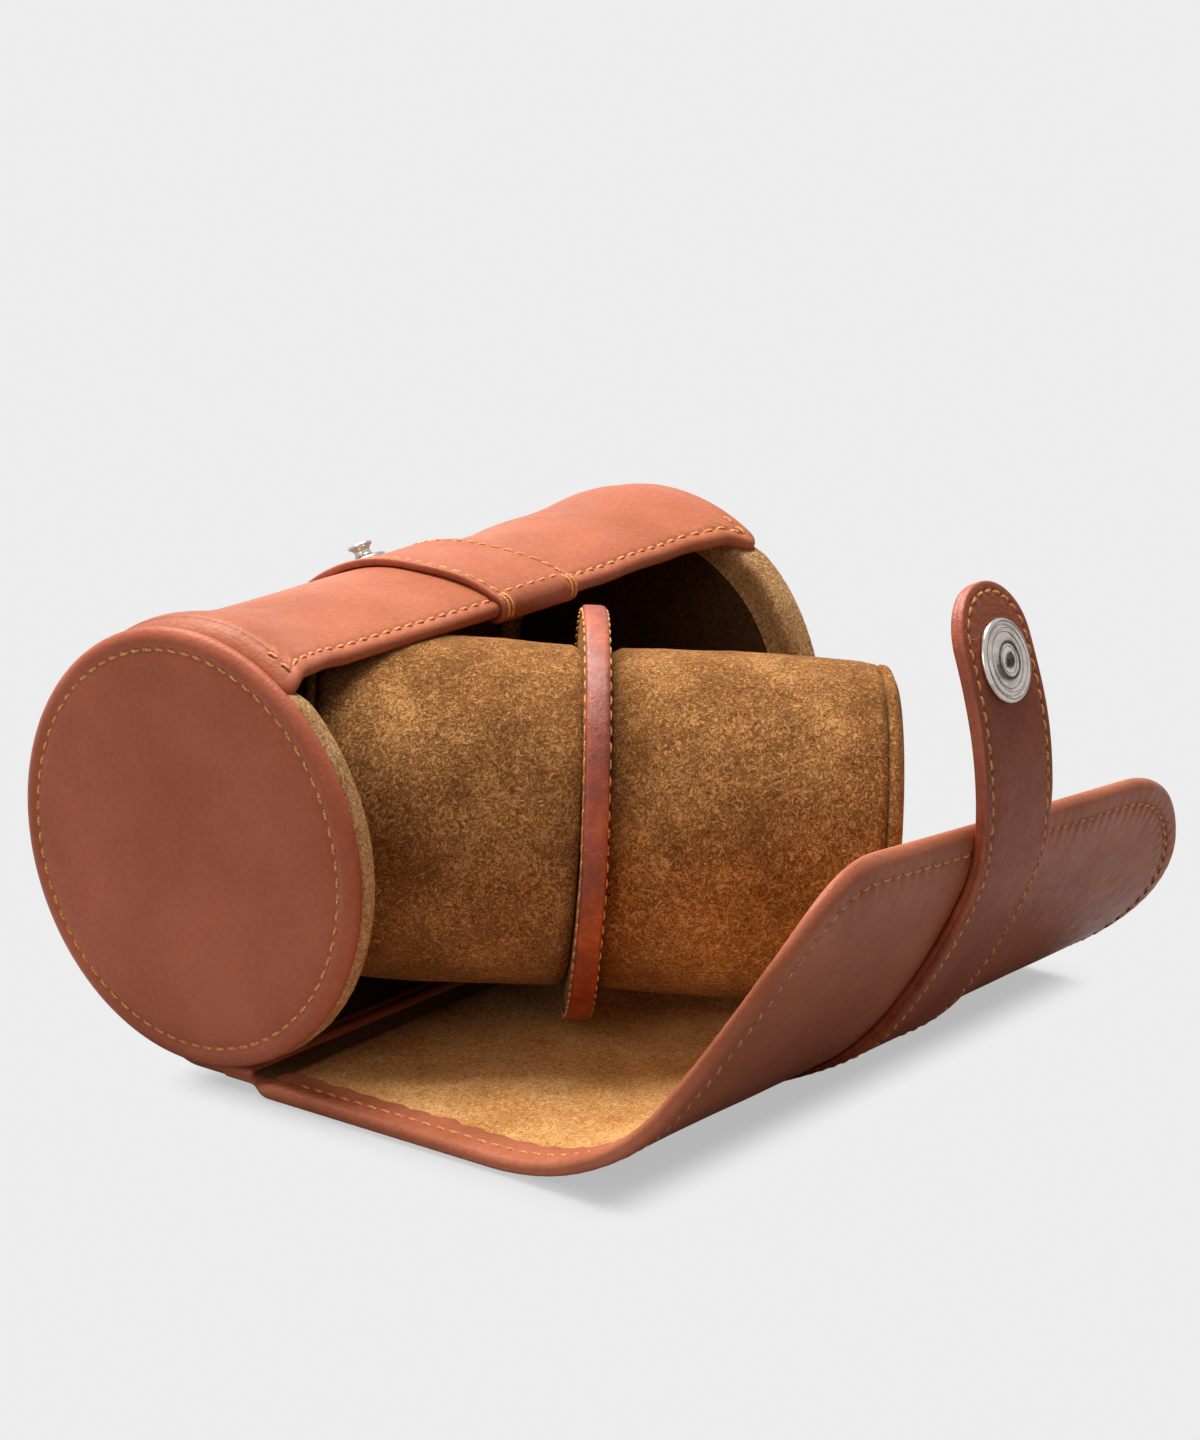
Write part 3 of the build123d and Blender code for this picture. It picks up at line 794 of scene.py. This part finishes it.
def banded(outline, rows, place, grid, thick, painted, wobble):
    """Sheet with the same half section on both faces; rows are (inset, depth) from the middle of its edge."""
    surface = Surface()
    rings = surface.strips(rows, outline.at, wobble, place, painted=painted)
    surface.fill(rings[-1], grid, level, place)
    inner_rows = [(inset, thick - depth) for inset, depth in rows[1:]]
    rings = surface.strips(inner_rows, outline.at, wobble, place, rings[0], inner=True, painted=painted)
    surface.fill(rings[-1], grid, lambda x, s: thick, place, flip=True)
    return surface


def stitch_waves(sums, stitch, pitch):
    """Dents of a narrow band's stitches, as a function of the inset."""
    return lambda inset: [0.1 * bump(stitch, 0.7, inset) * cos(tau * length / pitch) for length in sums]


def rectangle(left, right, front, back, *radii):
    """Corners for an Outline; radii for its front and its back."""
    return [(left, front, radii[0]), (right, front, radii[0]), (right, back, radii[-1]), (left, back, radii[-1])]


STRAP_STITCH = 1.9
STRAP_PITCH = 2.6
strap_outline = Outline(rectangle(-STRAP_HALF, STRAP_HALF, STRAP_START, TOE_S, 1.0, 10.6), 0.6)
strap_rows = [
    (0.1, 1.25), (0.0, 1.15), (0.0, 0.8), (0.03, 0.5), (0.13, 0.22), (0.32, 0.05), (0.6, 0.0), (1.2, 0.0),
    (1.6, 0.07), (STRAP_STITCH, 0.2), (2.2, 0.07), (2.7, 0.0), (4.2, 0.0),
]
strap_waves = stitch_waves(strap_outline.lengths(STRAP_STITCH), STRAP_STITCH, STRAP_PITCH)
strap = banded(strap_outline, strap_rows, strap_place, 2.2, STRAP_THICK, 0.33, strap_waves)
NECK_SPLIT, END_SPLIT = 134.5, 152.5
FOLDS["end"] = ("strap_neck", "strap_end", strap_place(0, 153, 1.2), strap_place(0, 164, 1.2))


def strap_part(x, s):
    return "front" if s < FRONT_MIDDLE else "tip" if s < NECK_SPLIT else "neck" if s < END_SPLIT else "end"


STRAP_NODES = {"front": ("bend", "front"), "tip": ("tip",), "neck": ("neck",), "end": ("end",)}
parts(
    "strap", strap, strap_part, [STRAP_LEATHER, EDGE], "tan_leather",
    lambda part: [f"strap_{node}_{layer}" for node in STRAP_NODES[part] for layer in ("inner", "outer")],
)
strap_route = open_route(strap_outline, STRAP_STITCH, lambda x, s: s > STRAP_START + STRAP_STITCH + 0.3)
for label, place, slant in (("out", strap_place, 0.08), ("in", strap_inside, -0.08)):
    split_threads(
        f"strap_thread_{label}", strap_route, place, 0.12, strap_part, fold,
        pitch=STRAP_PITCH, radius=0.26, slant=slant, sink=0.3,
    )

cap_root = Vector(strap_place(0, SNAP_S, 0))
cap_foot = Vector(strap_place(0, SNAP_S, STRAP_THICK))
cap_out = (Vector(strap_place(0, SNAP_S, -1)) - cap_root).normalized()
cap_side = Vector((1, 0, 0))
cap_side = (cap_side - cap_out * cap_side.dot(cap_out)).normalized()
cap_up = cap_out.cross(cap_side)
cap_profile = [
    (6.6, -0.25), (7.1, -0.1), (7.3, 0.1), (7.34, 0.35), (7.26, 0.7), (7.05, 0.98), (6.75, 1.12), (6.45, 1.1),
    (6.24, 0.96), (6.1, 0.86), (5.96, 0.94), (5.8, 1.14), (5.55, 1.27), (5.3, 1.24), (5.12, 1.08), (5.0, 0.92),
    (4.86, 0.88), (4.6, 0.98), (4.1, 1.12), (3.4, 1.24), (2.6, 1.3), (2.45, 1.22), (2.3, 1.18), (2.12, 1.24),
    (1.95, 1.34), (1.2, 1.39), (0, 1.42),
]
socket_profile = [
    (5.3, -0.3), (5.4, 0.3), (5.4, 1.1), (5.2, 1.6), (4.9, 1.85), (4.3, 1.9), (3.4, 1.95), (2.9, 2.0), (2.7, 1.8),
    (2.6, 0.6), (0, 0.5),
]
metal("snap_cap", cap_profile, 72, cap_root, (cap_side, cap_up, cap_out), "strap_end")
metal("snap_socket", socket_profile, 48, cap_foot, (cap_side, cap_up, -cap_out), "strap_end", flip=True)

# ---- shell

SHELL_END, SHELL_FAR_END = 67.4, 69.8
SHELL_HEEL = 12.5
ARC_LENGTH = (SHELL_FRONT + pi) * SHELL_RADIUS
SHELL_THICK = 3.0
SHELL_STITCH = 3.0
SHELL_SEWN = 9.5  # stitched as far as this from the front edge
# The front edge drawn forward at its ends and back in its middle, and the sink between the caps
END_DROP, MIDDLE_RISE, SINK = 3.0, 2.2, 2.7


def shell_place(x, s, depth):
    """Place on the shell; s runs from its front edge over the top and the back to the heel.

    The leather sinks between the two caps, swells beside them and is drawn in under their rims.
    """
    end = abs(x)
    if s > ARC_LENGTH:
        return (x, AXIS_Y - (s - ARC_LENGTH), depth)
    drop = (END_DROP * smooth(60.5, 67.4, end) - MIDDLE_RISE * (1 - smooth(50, 62, end))) * (1 - smooth(0, 26, s))
    a = SHELL_FRONT - (s - drop) / SHELL_RADIUS
    top = smooth(radians(-170), radians(-100), a)
    sink = (SINK if x < 27 else SINK - 0.9 * smooth(27, 38, x)) * (1 - smooth(46, 62, end))
    low, high = (0.15, 0.9) if x > 0 else (0.3, 1.6)
    ends = (low + high * bump(radians(-42), radians(34), a)) * smooth(48, 60, end)
    tuck = (1.75 if x < 0 else 0.3) * smooth(62.5, 67.4, end) ** 1.6
    swell = 0.35 * bump(61.5, 4.5, end)
    sway = 0.18 * wave(x, s, 4, 30) + 0.08 * wave(x, s, 8, 12)
    r = SHELL_RADIUS - depth + top * (sway + swell - sink - ends) - tuck * smooth(radians(-178), radians(-165), a)
    return (x, AXIS_Y - r * sin(a), AXIS_Z + r * cos(a))


shell_outline = Outline(rectangle(-SHELL_END, SHELL_FAR_END, 0, ARC_LENGTH + SHELL_HEEL, 3.2, 0.6))
shell_sums = shell_outline.lengths(SHELL_STITCH)
shell_sewn = [1 if s < SHELL_SEWN else 0 for _, s in shell_outline.at(SHELL_STITCH)]


def shell_waves(inset):
    near = 0.12 * bump(SHELL_STITCH, 0.8, inset) + 0.04 * bump(SHELL_STITCH, 2.2, inset)
    return [near * sewn * cos(tau * length / STITCH) for length, sewn in zip(shell_sums, shell_sewn)]


def no_waves(inset):
    return [0] * len(shell_sums)


shell_rim = rolled(SHELL_THICK, SHELL_THICK / 2)
shell_rows = [
    (1.9, 0.0), (2.3, 0.03), (2.7, 0.16), (SHELL_STITCH, 0.3), (3.3, 0.16), (3.7, 0.03), (4.6, 0), (6.5, 0),
]
inner_rows = [(inset, depth) for inset, _, depth in shell_rim[1:]] + [
    (2.6, 3.0), (SHELL_STITCH, 2.75), (3.4, 3.0), (4.8, 2.95), (5.5, 2.7), (5.7, 1.8),
]
shell = Surface()
rim = shell.strips([(inset, depth) for inset, depth, _ in shell_rim], shell_outline.at, no_waves, shell_place)
rings = shell.strips(shell_rows, shell_outline.at, shell_waves, shell_place, rim[-1])
shell.fill(rings[-1], 3.2, level, shell_place)
shell.strips(inner_rows, shell_outline.at, no_waves, shell_place, rim[0], inner=True)
dress("shell_dress", (shell.verts, shell.faces), TAN, "tan_leather", "case", ["shell_leather"])


def lining_depth(x, s):
    return 2.25 + 0.12 * wave(x, s, 6, 9) - 0.3 * smooth(ARC_LENGTH + 11, ARC_LENGTH + 17, s)


xs = [-66.6 + 133.2 * k / 60 for k in range(61)]
ss = [4.6 + (ARC_LENGTH + HEEL - 3.4) * k / 80 for k in range(81)]
verts = [shell_place(x, s, lining_depth(x, s)) for s in ss for x in xs]
corners = [j * len(xs) + i for j in range(len(ss) - 1) for i in range(len(xs) - 1)]
faces = [(a + len(xs), a + len(xs) + 1, a + 1, a) for a in corners]
# The shell's lining takes the dark inner suede: painted shade for the shade inside the mouth.
dress("shell_lining_dress", (verts, faces), INNER_SHADE_SUEDE, "suede", "case", ["shell_lining"])

shell_route = open_route(shell_outline, SHELL_STITCH, lambda x, s: s < SHELL_SEWN)
body_threads("case", "shell_thread", "front", shell_route, shell_place, 0.14)

# ---- caps

CAP_STITCH = 36.35


def circle(radius, steps=300):
    return [(radius * cos(tau * k / steps), radius * sin(tau * k / steps)) for k in range(steps + 1)]


for side, name in ((-1, "left"), (1, "right")):

    def cap_point(r, a, x):
        pucker = 0.05 * cos(77 * a) * bump(CAP_STITCH, 1.2, r) if r > 30 else 0
        y, z = r * cos(a), r * sin(a)
        hollow = 0.12 * wave(y, z, 3 + side, 16) * smooth(34, 26, r)
        return (side * (x - pucker + hollow), AXIS_Y + y, AXIS_Z + z)

    cover = [(r, 70.3) for r in (0, 8, 16, 22, 27, 31)] + [
        (33.6, 70.27), (34.8, 70.2), (35.5, 70.08), (35.9, 69.92), (36.1, 69.8), (CAP_STITCH, 69.74), (36.6, 69.8),
        (36.9, 69.96), (37.4, 70.12), (38.0, 70.14), (38.6, 70.0), (39.2, 69.72), (39.7, 69.3), (40.02, 68.8),
        (40.15, 68.3), (40.1, 67.8), (39.8, 67.4), (39.2, 67.2), (38.4, 67.2),
    ]
    if side > 0:
        cover = [(r if r < 37.4 else 37.4 + (r - 37.4) * 0.45, x) for r, x in cover]
    cap = spin(cover, 308, cap_point)
    dress(f"cap_dress_{name}", cap, CAP_LEATHER, "tan_leather", "case", [f"cap_cover_{name}"])

    def cap_place(u, v, depth):
        return (side * (69.8 - depth), AXIS_Y + u, AXIS_Z + v)

    whole = (0, tau * CAP_STITCH)
    body_threads("case", f"cap_thread_{name}", "ring", circle(CAP_STITCH), cap_place, 0.05, whole, pitch=3.0)

    def pad_point(r, a, x):
        y, z = r * cos(a), r * sin(a)
        fuzz = 0.12 * wave(y, z, x, 1.6) * smooth(34, 38, r) + 0.2 * wave(y, z, x, 12)
        under_shell = 1 - smooth(30, 42, degrees(atan2(-y, z))) if r > 33 else 0
        grow = 1 + fuzz / 40 - 0.045 * under_shell * smooth(33, 38, r)
        return (side * (x + 0.5 * fuzz), AXIS_Y + y * grow, AXIS_Z + z * grow)

    pad = [
        (0, 67.8), (30, 67.8), (38.6, 67.8), (39.4, 67.65), (39.85, 67.2), (40.1, 66.4), (40.15, 65.4), (40.0, 64.4),
        (39.5, 63.7), (38.7, 63.4),
    ]
    if side > 0:
        pad = pad[:2] + [(r + 0.5, x + 1.9) for r, x in pad[2:6]] + [(r + 0.4, x) for r, x in pad[6:]]
    bulge = 0.5 if side > 0 else -0.5
    pad += [(37.6, 63.55), (36.8, 63.8)]
    pad += [(r, 64.3 - bulge * sqrt(1 - (r / 36) ** 2)) for r in (35.5, 33, 29, 25, 20, 15, 10, 5, 0)]
    # Painted shade: the pads' inner faces inside a radius of 34 mm take the dark inner suede, for the shade the shell
    # casts on them.
    painted_shade_faces = [1 if k > 12 and pad[k][0] < 34 else 0 for k in range(len(pad) - 1) for _ in range(220)]
    cushioned = spin(pad, 220, pad_point)
    piece = dress(f"pad_dress_{name}", cushioned, [PAD_SUEDE, INNER_SHADE_SUEDE], "suede", "case", [f"cap_pad_{name}"], painted_shade_faces)

# ---- belt

BELT_THICK = 1.3
BELT_STITCH = 1.7
BELT_PITCH = 2.9
BELT_ASIDE, BELT_LEAN = 1.5, 4.8
WRAP = SHELL_THICK / 2


def belt_place(x, s, depth):
    """Place on the belt; beyond the shell's front edge it wraps round that edge and inside."""
    lift = 0.45 * smooth(-7, -11, x) * smooth(3, 12, s)
    x += BELT_ASIDE + BELT_LEAN * (1 - smooth(0, 24, s))
    depth -= lift * (1 - depth / BELT_THICK * 0.6)
    if s >= WRAP:
        return shell_place(x, s, depth - BELT_THICK)
    radius = WRAP + BELT_THICK
    turn = (WRAP - s) / radius
    if turn <= pi:
        reach = radius - depth
        return shell_place(x, WRAP - reach * sin(turn), WRAP - reach * cos(turn))
    return shell_place(x, WRAP + (turn - pi) * radius, WRAP + radius - depth)


BELT_TAIL = (SHELL_FRONT + radians(150)) * SHELL_RADIUS
BELT_FRONT = WRAP - pi * (WRAP + BELT_THICK) - 2.6
belt_outline = Outline(rectangle(-BELT_HALF, BELT_HALF, BELT_FRONT, BELT_TAIL, 1), 0.7)
belt_rows = [
    (0.0, 0.7), (0.02, 0.4), (0.12, 0.18), (0.35, 0.04), (0.7, 0.0), (1.2, 0.0), (1.6, 0.07), (BELT_STITCH, 0.22),
    (2.2, 0.07), (2.7, 0.0), (4.2, 0.0),
]
belt_waves = stitch_waves(belt_outline.lengths(BELT_STITCH), BELT_STITCH, BELT_PITCH)
belt = banded(belt_outline, belt_rows, belt_place, 2.2, BELT_THICK, 0.3, belt_waves)
dress("belt_dress", (belt.verts, belt.faces), [TAN, EDGE], "tan_leather", "case", ["belt"], belt.kinds)
for side, name in ((-1, "left"), (1, "right")):
    x = side * (BELT_HALF - BELT_STITCH)
    edge = [(x, 1.0 + 0.5 * k) for k in range(int((BELT_TAIL - 3) / 0.5))]
    sewn = (1.8, run_sums(edge)[-1])
    body_threads("case", f"belt_thread_{name}", "edge", edge, belt_place, 0.12, sewn, pitch=BELT_PITCH, radius=0.27)
    for k, offset in enumerate((-0.5, 0.55)):
        bar = [(x + offset, SHELL_STITCH - 0.25 * j) for j in range(28)]
        body_threads(
            "case", f"belt_bar_{name}_{k}", "wrap", bar, belt_place, 0.0, (0, 6.6),
            pitch=6.6, radius=0.3, share=0.98, sink=0.2,
        )
across = [(-BELT_HALF + 2.6 + 0.4 * k, SHELL_STITCH) for k in range(42)]
body_threads("case", "belt_thread_across", "front", across, belt_place, 0.1, radius=0.28)

stud_s = (SHELL_FRONT - STUD_ANGLE) * SHELL_RADIUS
stud_foot = Vector(belt_place(0, stud_s, 0))
stud_out = (Vector(belt_place(0, stud_s, -1)) - stud_foot).normalized()
stud_side = Vector((1, 0, 0))
stud_along = stud_out.cross(stud_side)
stud_profile = [
    (4.0, -0.4), (4.05, 0.1), (3.9, 0.4), (3.3, 0.62), (2.4, 0.78), (1.85, 0.95), (1.65, 1.3), (1.55, 1.8),
    (1.65, 2.2), (2.0, 2.55), (2.3, 2.72), (2.42, 2.95), (2.4, 3.2), (2.2, 3.38), (1.7, 3.42), (1.3, 3.3),
    (0.7, 3.15), (0, 3.1),
]
metal("snap_stud", stud_profile, 56, stud_foot, (stud_side, stud_along, stud_out), "case", flip=True)

# ---- cushion roll

roll_axis = Vector((cos(ROLL_TURN) * cos(ROLL_DIP), -sin(ROLL_TURN) * cos(ROLL_DIP), -sin(ROLL_DIP)))
roll_up = (Vector((0, 0, 1)) - roll_axis * roll_axis.z).normalized()
roll_side = roll_axis.cross(roll_up)


def roll_point(r, a, t):
    return ROLL_CENTRE + roll_axis * t + (roll_up * cos(a) + roll_side * sin(a)) * r


SPLICE = radians(-64)
TOP_RISE, TOP_LEAN = 0.9, 1.1
FACE = 2.22  # of the divider's suede, from its middle
DIVIDER_STITCH = 36.75


def top_share(r, a):
    return max(0, cos(a)) * r / DIVIDER_RADIUS


def divider_point(r, a, t):
    """Place on the divider's edge leather, which overlaps itself at the splice."""
    past = a - tau * round((a - SPLICE) / tau) - SPLICE
    lap = smooth(-0.058, -0.054, past) - smooth(0.054, 0.058, past)
    top = top_share(r, a)
    r += 0.14 * lap + 0.08 * wave(40 * cos(a), 40 * sin(a), t, 5) + TOP_RISE * top
    return tuple(roll_point(r, a, DIVIDER_ASIDE - TOP_LEAN * top + t * (1 + 0.02 * lap)))


def leaning_point(r, a, t):
    """Place on a face of the divider, whose top leans and stands a little proud."""
    top = top_share(r, a)
    return tuple(roll_point(r + TOP_RISE * top, a, DIVIDER_ASIDE - TOP_LEAN * top + t))


edge_profile = [
    (35.6, -2.12), (36.3, -2.2), (37.0, -2.18), (37.35, -2.02), (37.52, -1.75), (37.6, -1.2), (37.62, 0),
    (37.6, 1.2), (37.52, 1.75), (37.35, 2.02), (37.0, 2.18), (36.3, 2.2), (35.6, 2.12), (35.6, 0.0), (35.6, -2.12),
]
edge = spin(edge_profile, 640, divider_point)
dress("divider_edge_dress", edge, DIVIDER_EDGE, "edge_leather", "cushion_roll", ["divider_edge"])
board = spin([(0, -1.1), (35.4, -1.1), (35.4, 1.1), (0, 1.1)], 120, divider_point)
dress("divider_board_dress", board, BOARD, "board", "cushion_roll", ["divider_board"])

for side, name in ((-1, "left"), (1, "right")):

    def face_point(r, a, t):
        return leaning_point(r, a, side * (t + 0.1 * wave(r * cos(a), r * sin(a), side, 3)))

    profile = [(36.4, 1.6), (36.3, 1.95), (35.9, 2.12), (35, 2.2)] + [(r, FACE) for r in (33.5, 31, 27, 18, 9, 0)]
    suede_face = spin(profile, 180, face_point)
    dress(f"divider_suede_dress_{name}", suede_face, SUEDE, "suede", "cushion_roll", [f"divider_suede_{name}"])

    def face_place(u, v, depth):
        return leaning_point(sqrt(u * u + v * v), atan2(v, u), side * (FACE - depth))

    body_threads(
        "cushion_roll", f"divider_thread_{name}", "ring", circle(DIVIDER_STITCH), face_place, 0.02,
        (0, tau * DIVIDER_STITCH), pitch=3.0, radius=0.22,
    )

    length = CUSHION_LEFT if side < 0 else CUSHION_RIGHT
    first = DIVIDER_HALF + 0.1 + side * DIVIDER_ASIDE
    last = DIVIDER_HALF + 0.1 + length
    seam = last - 2.4
    puff = 1 if side > 0 else 0.2
    profile = [(0, first), (20, first), (28.5, first), (29.9, first + 0.3), (30.5, first + 1.2)]
    for k in range(1, 43):
        share = k / 42
        t = first + 1.2 + (seam - first - 1.5) * share
        r = 31.0 + 0.6 * sin(pi * share) - 0.55 * max(0, (t - seam + 5) / 5) ** 2.4
        profile.append((r, t))
    r = profile[-1][0] - (0 if side > 0 else 0.35)
    profile += [
        (r - 0.2, seam - 0.3), (r - 1.2, seam - 0.08), (r - 1.2, seam + 0.1), (r - 0.2, seam + 0.35),
        (r + 0.1, seam + 0.8), (r + 0.05, seam + 1.5), (r - 0.25, seam + 2.0), (r - 0.9, seam + 2.35),
        (r - 2.2, last + 0.6 * puff), (24, last + 0.75 * puff), (19, last + 0.9 * puff), (13, last + puff),
        (6, last + 1.1 * puff), (0, last + 1.1 * puff),
    ]

    def cushion_point(r, a, t):
        y, z = r * cos(a), r * sin(a)
        swell = 0.3 * wave(y, z, t + 7 * side, 17) + 0.12 * wave(y, z, t, 6) + 0.05 * wave(y, z, t, 1.3)
        pinch = 0.1 * bump(seam, 1.2, t) * cos(62 * a)
        if r > 24 and t < seam + 3:
            r += swell + pinch
        flat = swell if r < 24 else 0
        return tuple(roll_point(r, a, side * (t + 0.6 * flat)))

    nodes = [f"cushion_{part}_{name}" for part in ("sleeve", "core", "end")]
    cushion = spin(profile, 240, cushion_point)
    dress(f"cushion_dress_{name}", cushion, SUEDE, "suede", "cushion_roll", nodes)

# CAD nodes that show a little and keep their own shape
for name, material in (("cap_board_left", BOARD), ("cap_board_right", BOARD), ("stud_rivet", NICKEL)):
    node = bpy.data.objects[name]
    node.data.materials.clear()
    node.data.materials.append(material)

# ---- floor, light

BACKDROP = (0.847, 0.847, 0.847, 1)


def sheet(name, width, depth):
    """Flat mesh in metres, about its middle."""
    w, d = width / 2, depth / 2
    mesh = bpy.data.meshes.new(name)
    mesh.from_pydata([(-w, -d, 0), (w, -d, 0), (w, d, 0), (-w, d, 0)], [], [(0, 1, 2, 3)])
    return mesh


floor = bpy.data.objects.new("Floor", sheet("Floor", 12, 12))
floor.location.z = -0.0002
scene.collection.objects.link(floor)
paper = Shader("Paper floor", 0.9, Specular_IOR_Level=0.1)
paper.shader.inputs["Base Color"].default_value = (0.36, 0.36, 0.36, 1)


def vector(operation, a, b=(0, 0, 0), output=0):
    node = paper.add("ShaderNodeVectorMath", i0=a, i1=b)
    node.operation = operation
    return node.outputs[output]


# The shadow near the object, and plain paper away from its footprint
offset = vector("SUBTRACT", vector("ABSOLUTE", vector("SUBTRACT", paper.place, (0, -0.042, 0))), (0.067, 0.042, 1))
reach = vector("LENGTH", vector("MAXIMUM", offset), output="Value")
fade = paper.add("ShaderNodeMapRange", i0=reach, i1=0.0, i2=0.013, i3=0.55, i4=1.0)
fade.interpolation_type = "SMOOTHSTEP"
kind = paper.tree.nodes.new("ShaderNodeLightPath")
shown = paper.math("MAXIMUM", kind.outputs["Is Camera Ray"], kind.outputs["Is Transmission Ray"])
shown = paper.math("MULTIPLY", fade.outputs[0], shown)
mirrored = paper.math("MULTIPLY", paper.span(reach, 0.02, 0.12), kind.outputs["Is Glossy Ray"])
glow = paper.add("ShaderNodeEmission", Color=BACKDROP, Strength=1.0)
share = paper.math("MAXIMUM", shown, mirrored)
both = paper.add("ShaderNodeMixShader", i0=share, i1=paper.shader.outputs[0], i2=glow.outputs[0])
paper.tree.links.new(both.outputs[0], paper.tree.nodes["Material Output"].inputs[0])
floor.data.materials.append(paper.material)

world = bpy.data.worlds.new("Studio")
scene.world = world
world.use_nodes = True
nodes, links = world.node_tree.nodes, world.node_tree.links
path = nodes.new("ShaderNodeLightPath")
mix = nodes.new("ShaderNodeMix")
mix.data_type = "RGBA"
shown = path.outputs["Is Camera Ray"]
for ray in ("Is Glossy Ray", "Is Transmission Ray"):
    larger = nodes.new("ShaderNodeMath")
    larger.operation = "MAXIMUM"
    links.new(shown, larger.inputs[0])
    links.new(path.outputs[ray], larger.inputs[1])
    shown = larger.outputs[0]
links.new(shown, mix.inputs[0])
mix.inputs[6].default_value = (0.165, 0.165, 0.168, 1)
mix.inputs[7].default_value = BACKDROP
links.new(mix.outputs[2], nodes["Background"].inputs[0])
nodes["Background"].inputs[1].default_value = 1.0


def aimed(name, data, place, aim):
    """Object at a place in metres whose -Z looks at an aim."""
    thing = bpy.data.objects.new(name, data)
    thing.location = place
    thing.rotation_euler = (Vector(aim) - Vector(place)).to_track_quat("-Z", "Y").to_euler()
    scene.collection.objects.link(thing)
    return thing


def lamp(name, place, aim, size, power):
    data = bpy.data.lights.new(name, "AREA")
    data.shape = "RECTANGLE"
    data.size, data.size_y = size
    data.energy = power
    aimed(name, data, place, aim)


lamp("Top softbox", (0.1, 0.1, 1.1), (0, -0.02, 0.03), (0.55, 0.45), 14.5)
lamp("Back softbox", (0.1, 0.62, 0.86), (0, -0.02, 0.03), (0.55, 0.4), 10)
lamp("Left softbox", (-1.0, -0.1, 0.5), (-0.05, 0, 0.04), (0.6, 0.6), 2.4)

# A panel that only mirrors see, so that the metal has something to reflect
card = aimed("Dark card", sheet("Dark card", 0.9, 0.42), (0.9, -0.78, 0.06), (0, -0.11, 0.08))
card.visible_camera = card.visible_diffuse = card.visible_shadow = card.visible_transmission = False
black = Shader("Card", 0.9, Specular_IOR_Level=0.0)
black.shader.inputs["Base Color"].default_value = (0.03, 0.026, 0.024, 1)
card.data.materials.append(black.material)

scene.view_settings.view_transform = "Standard"
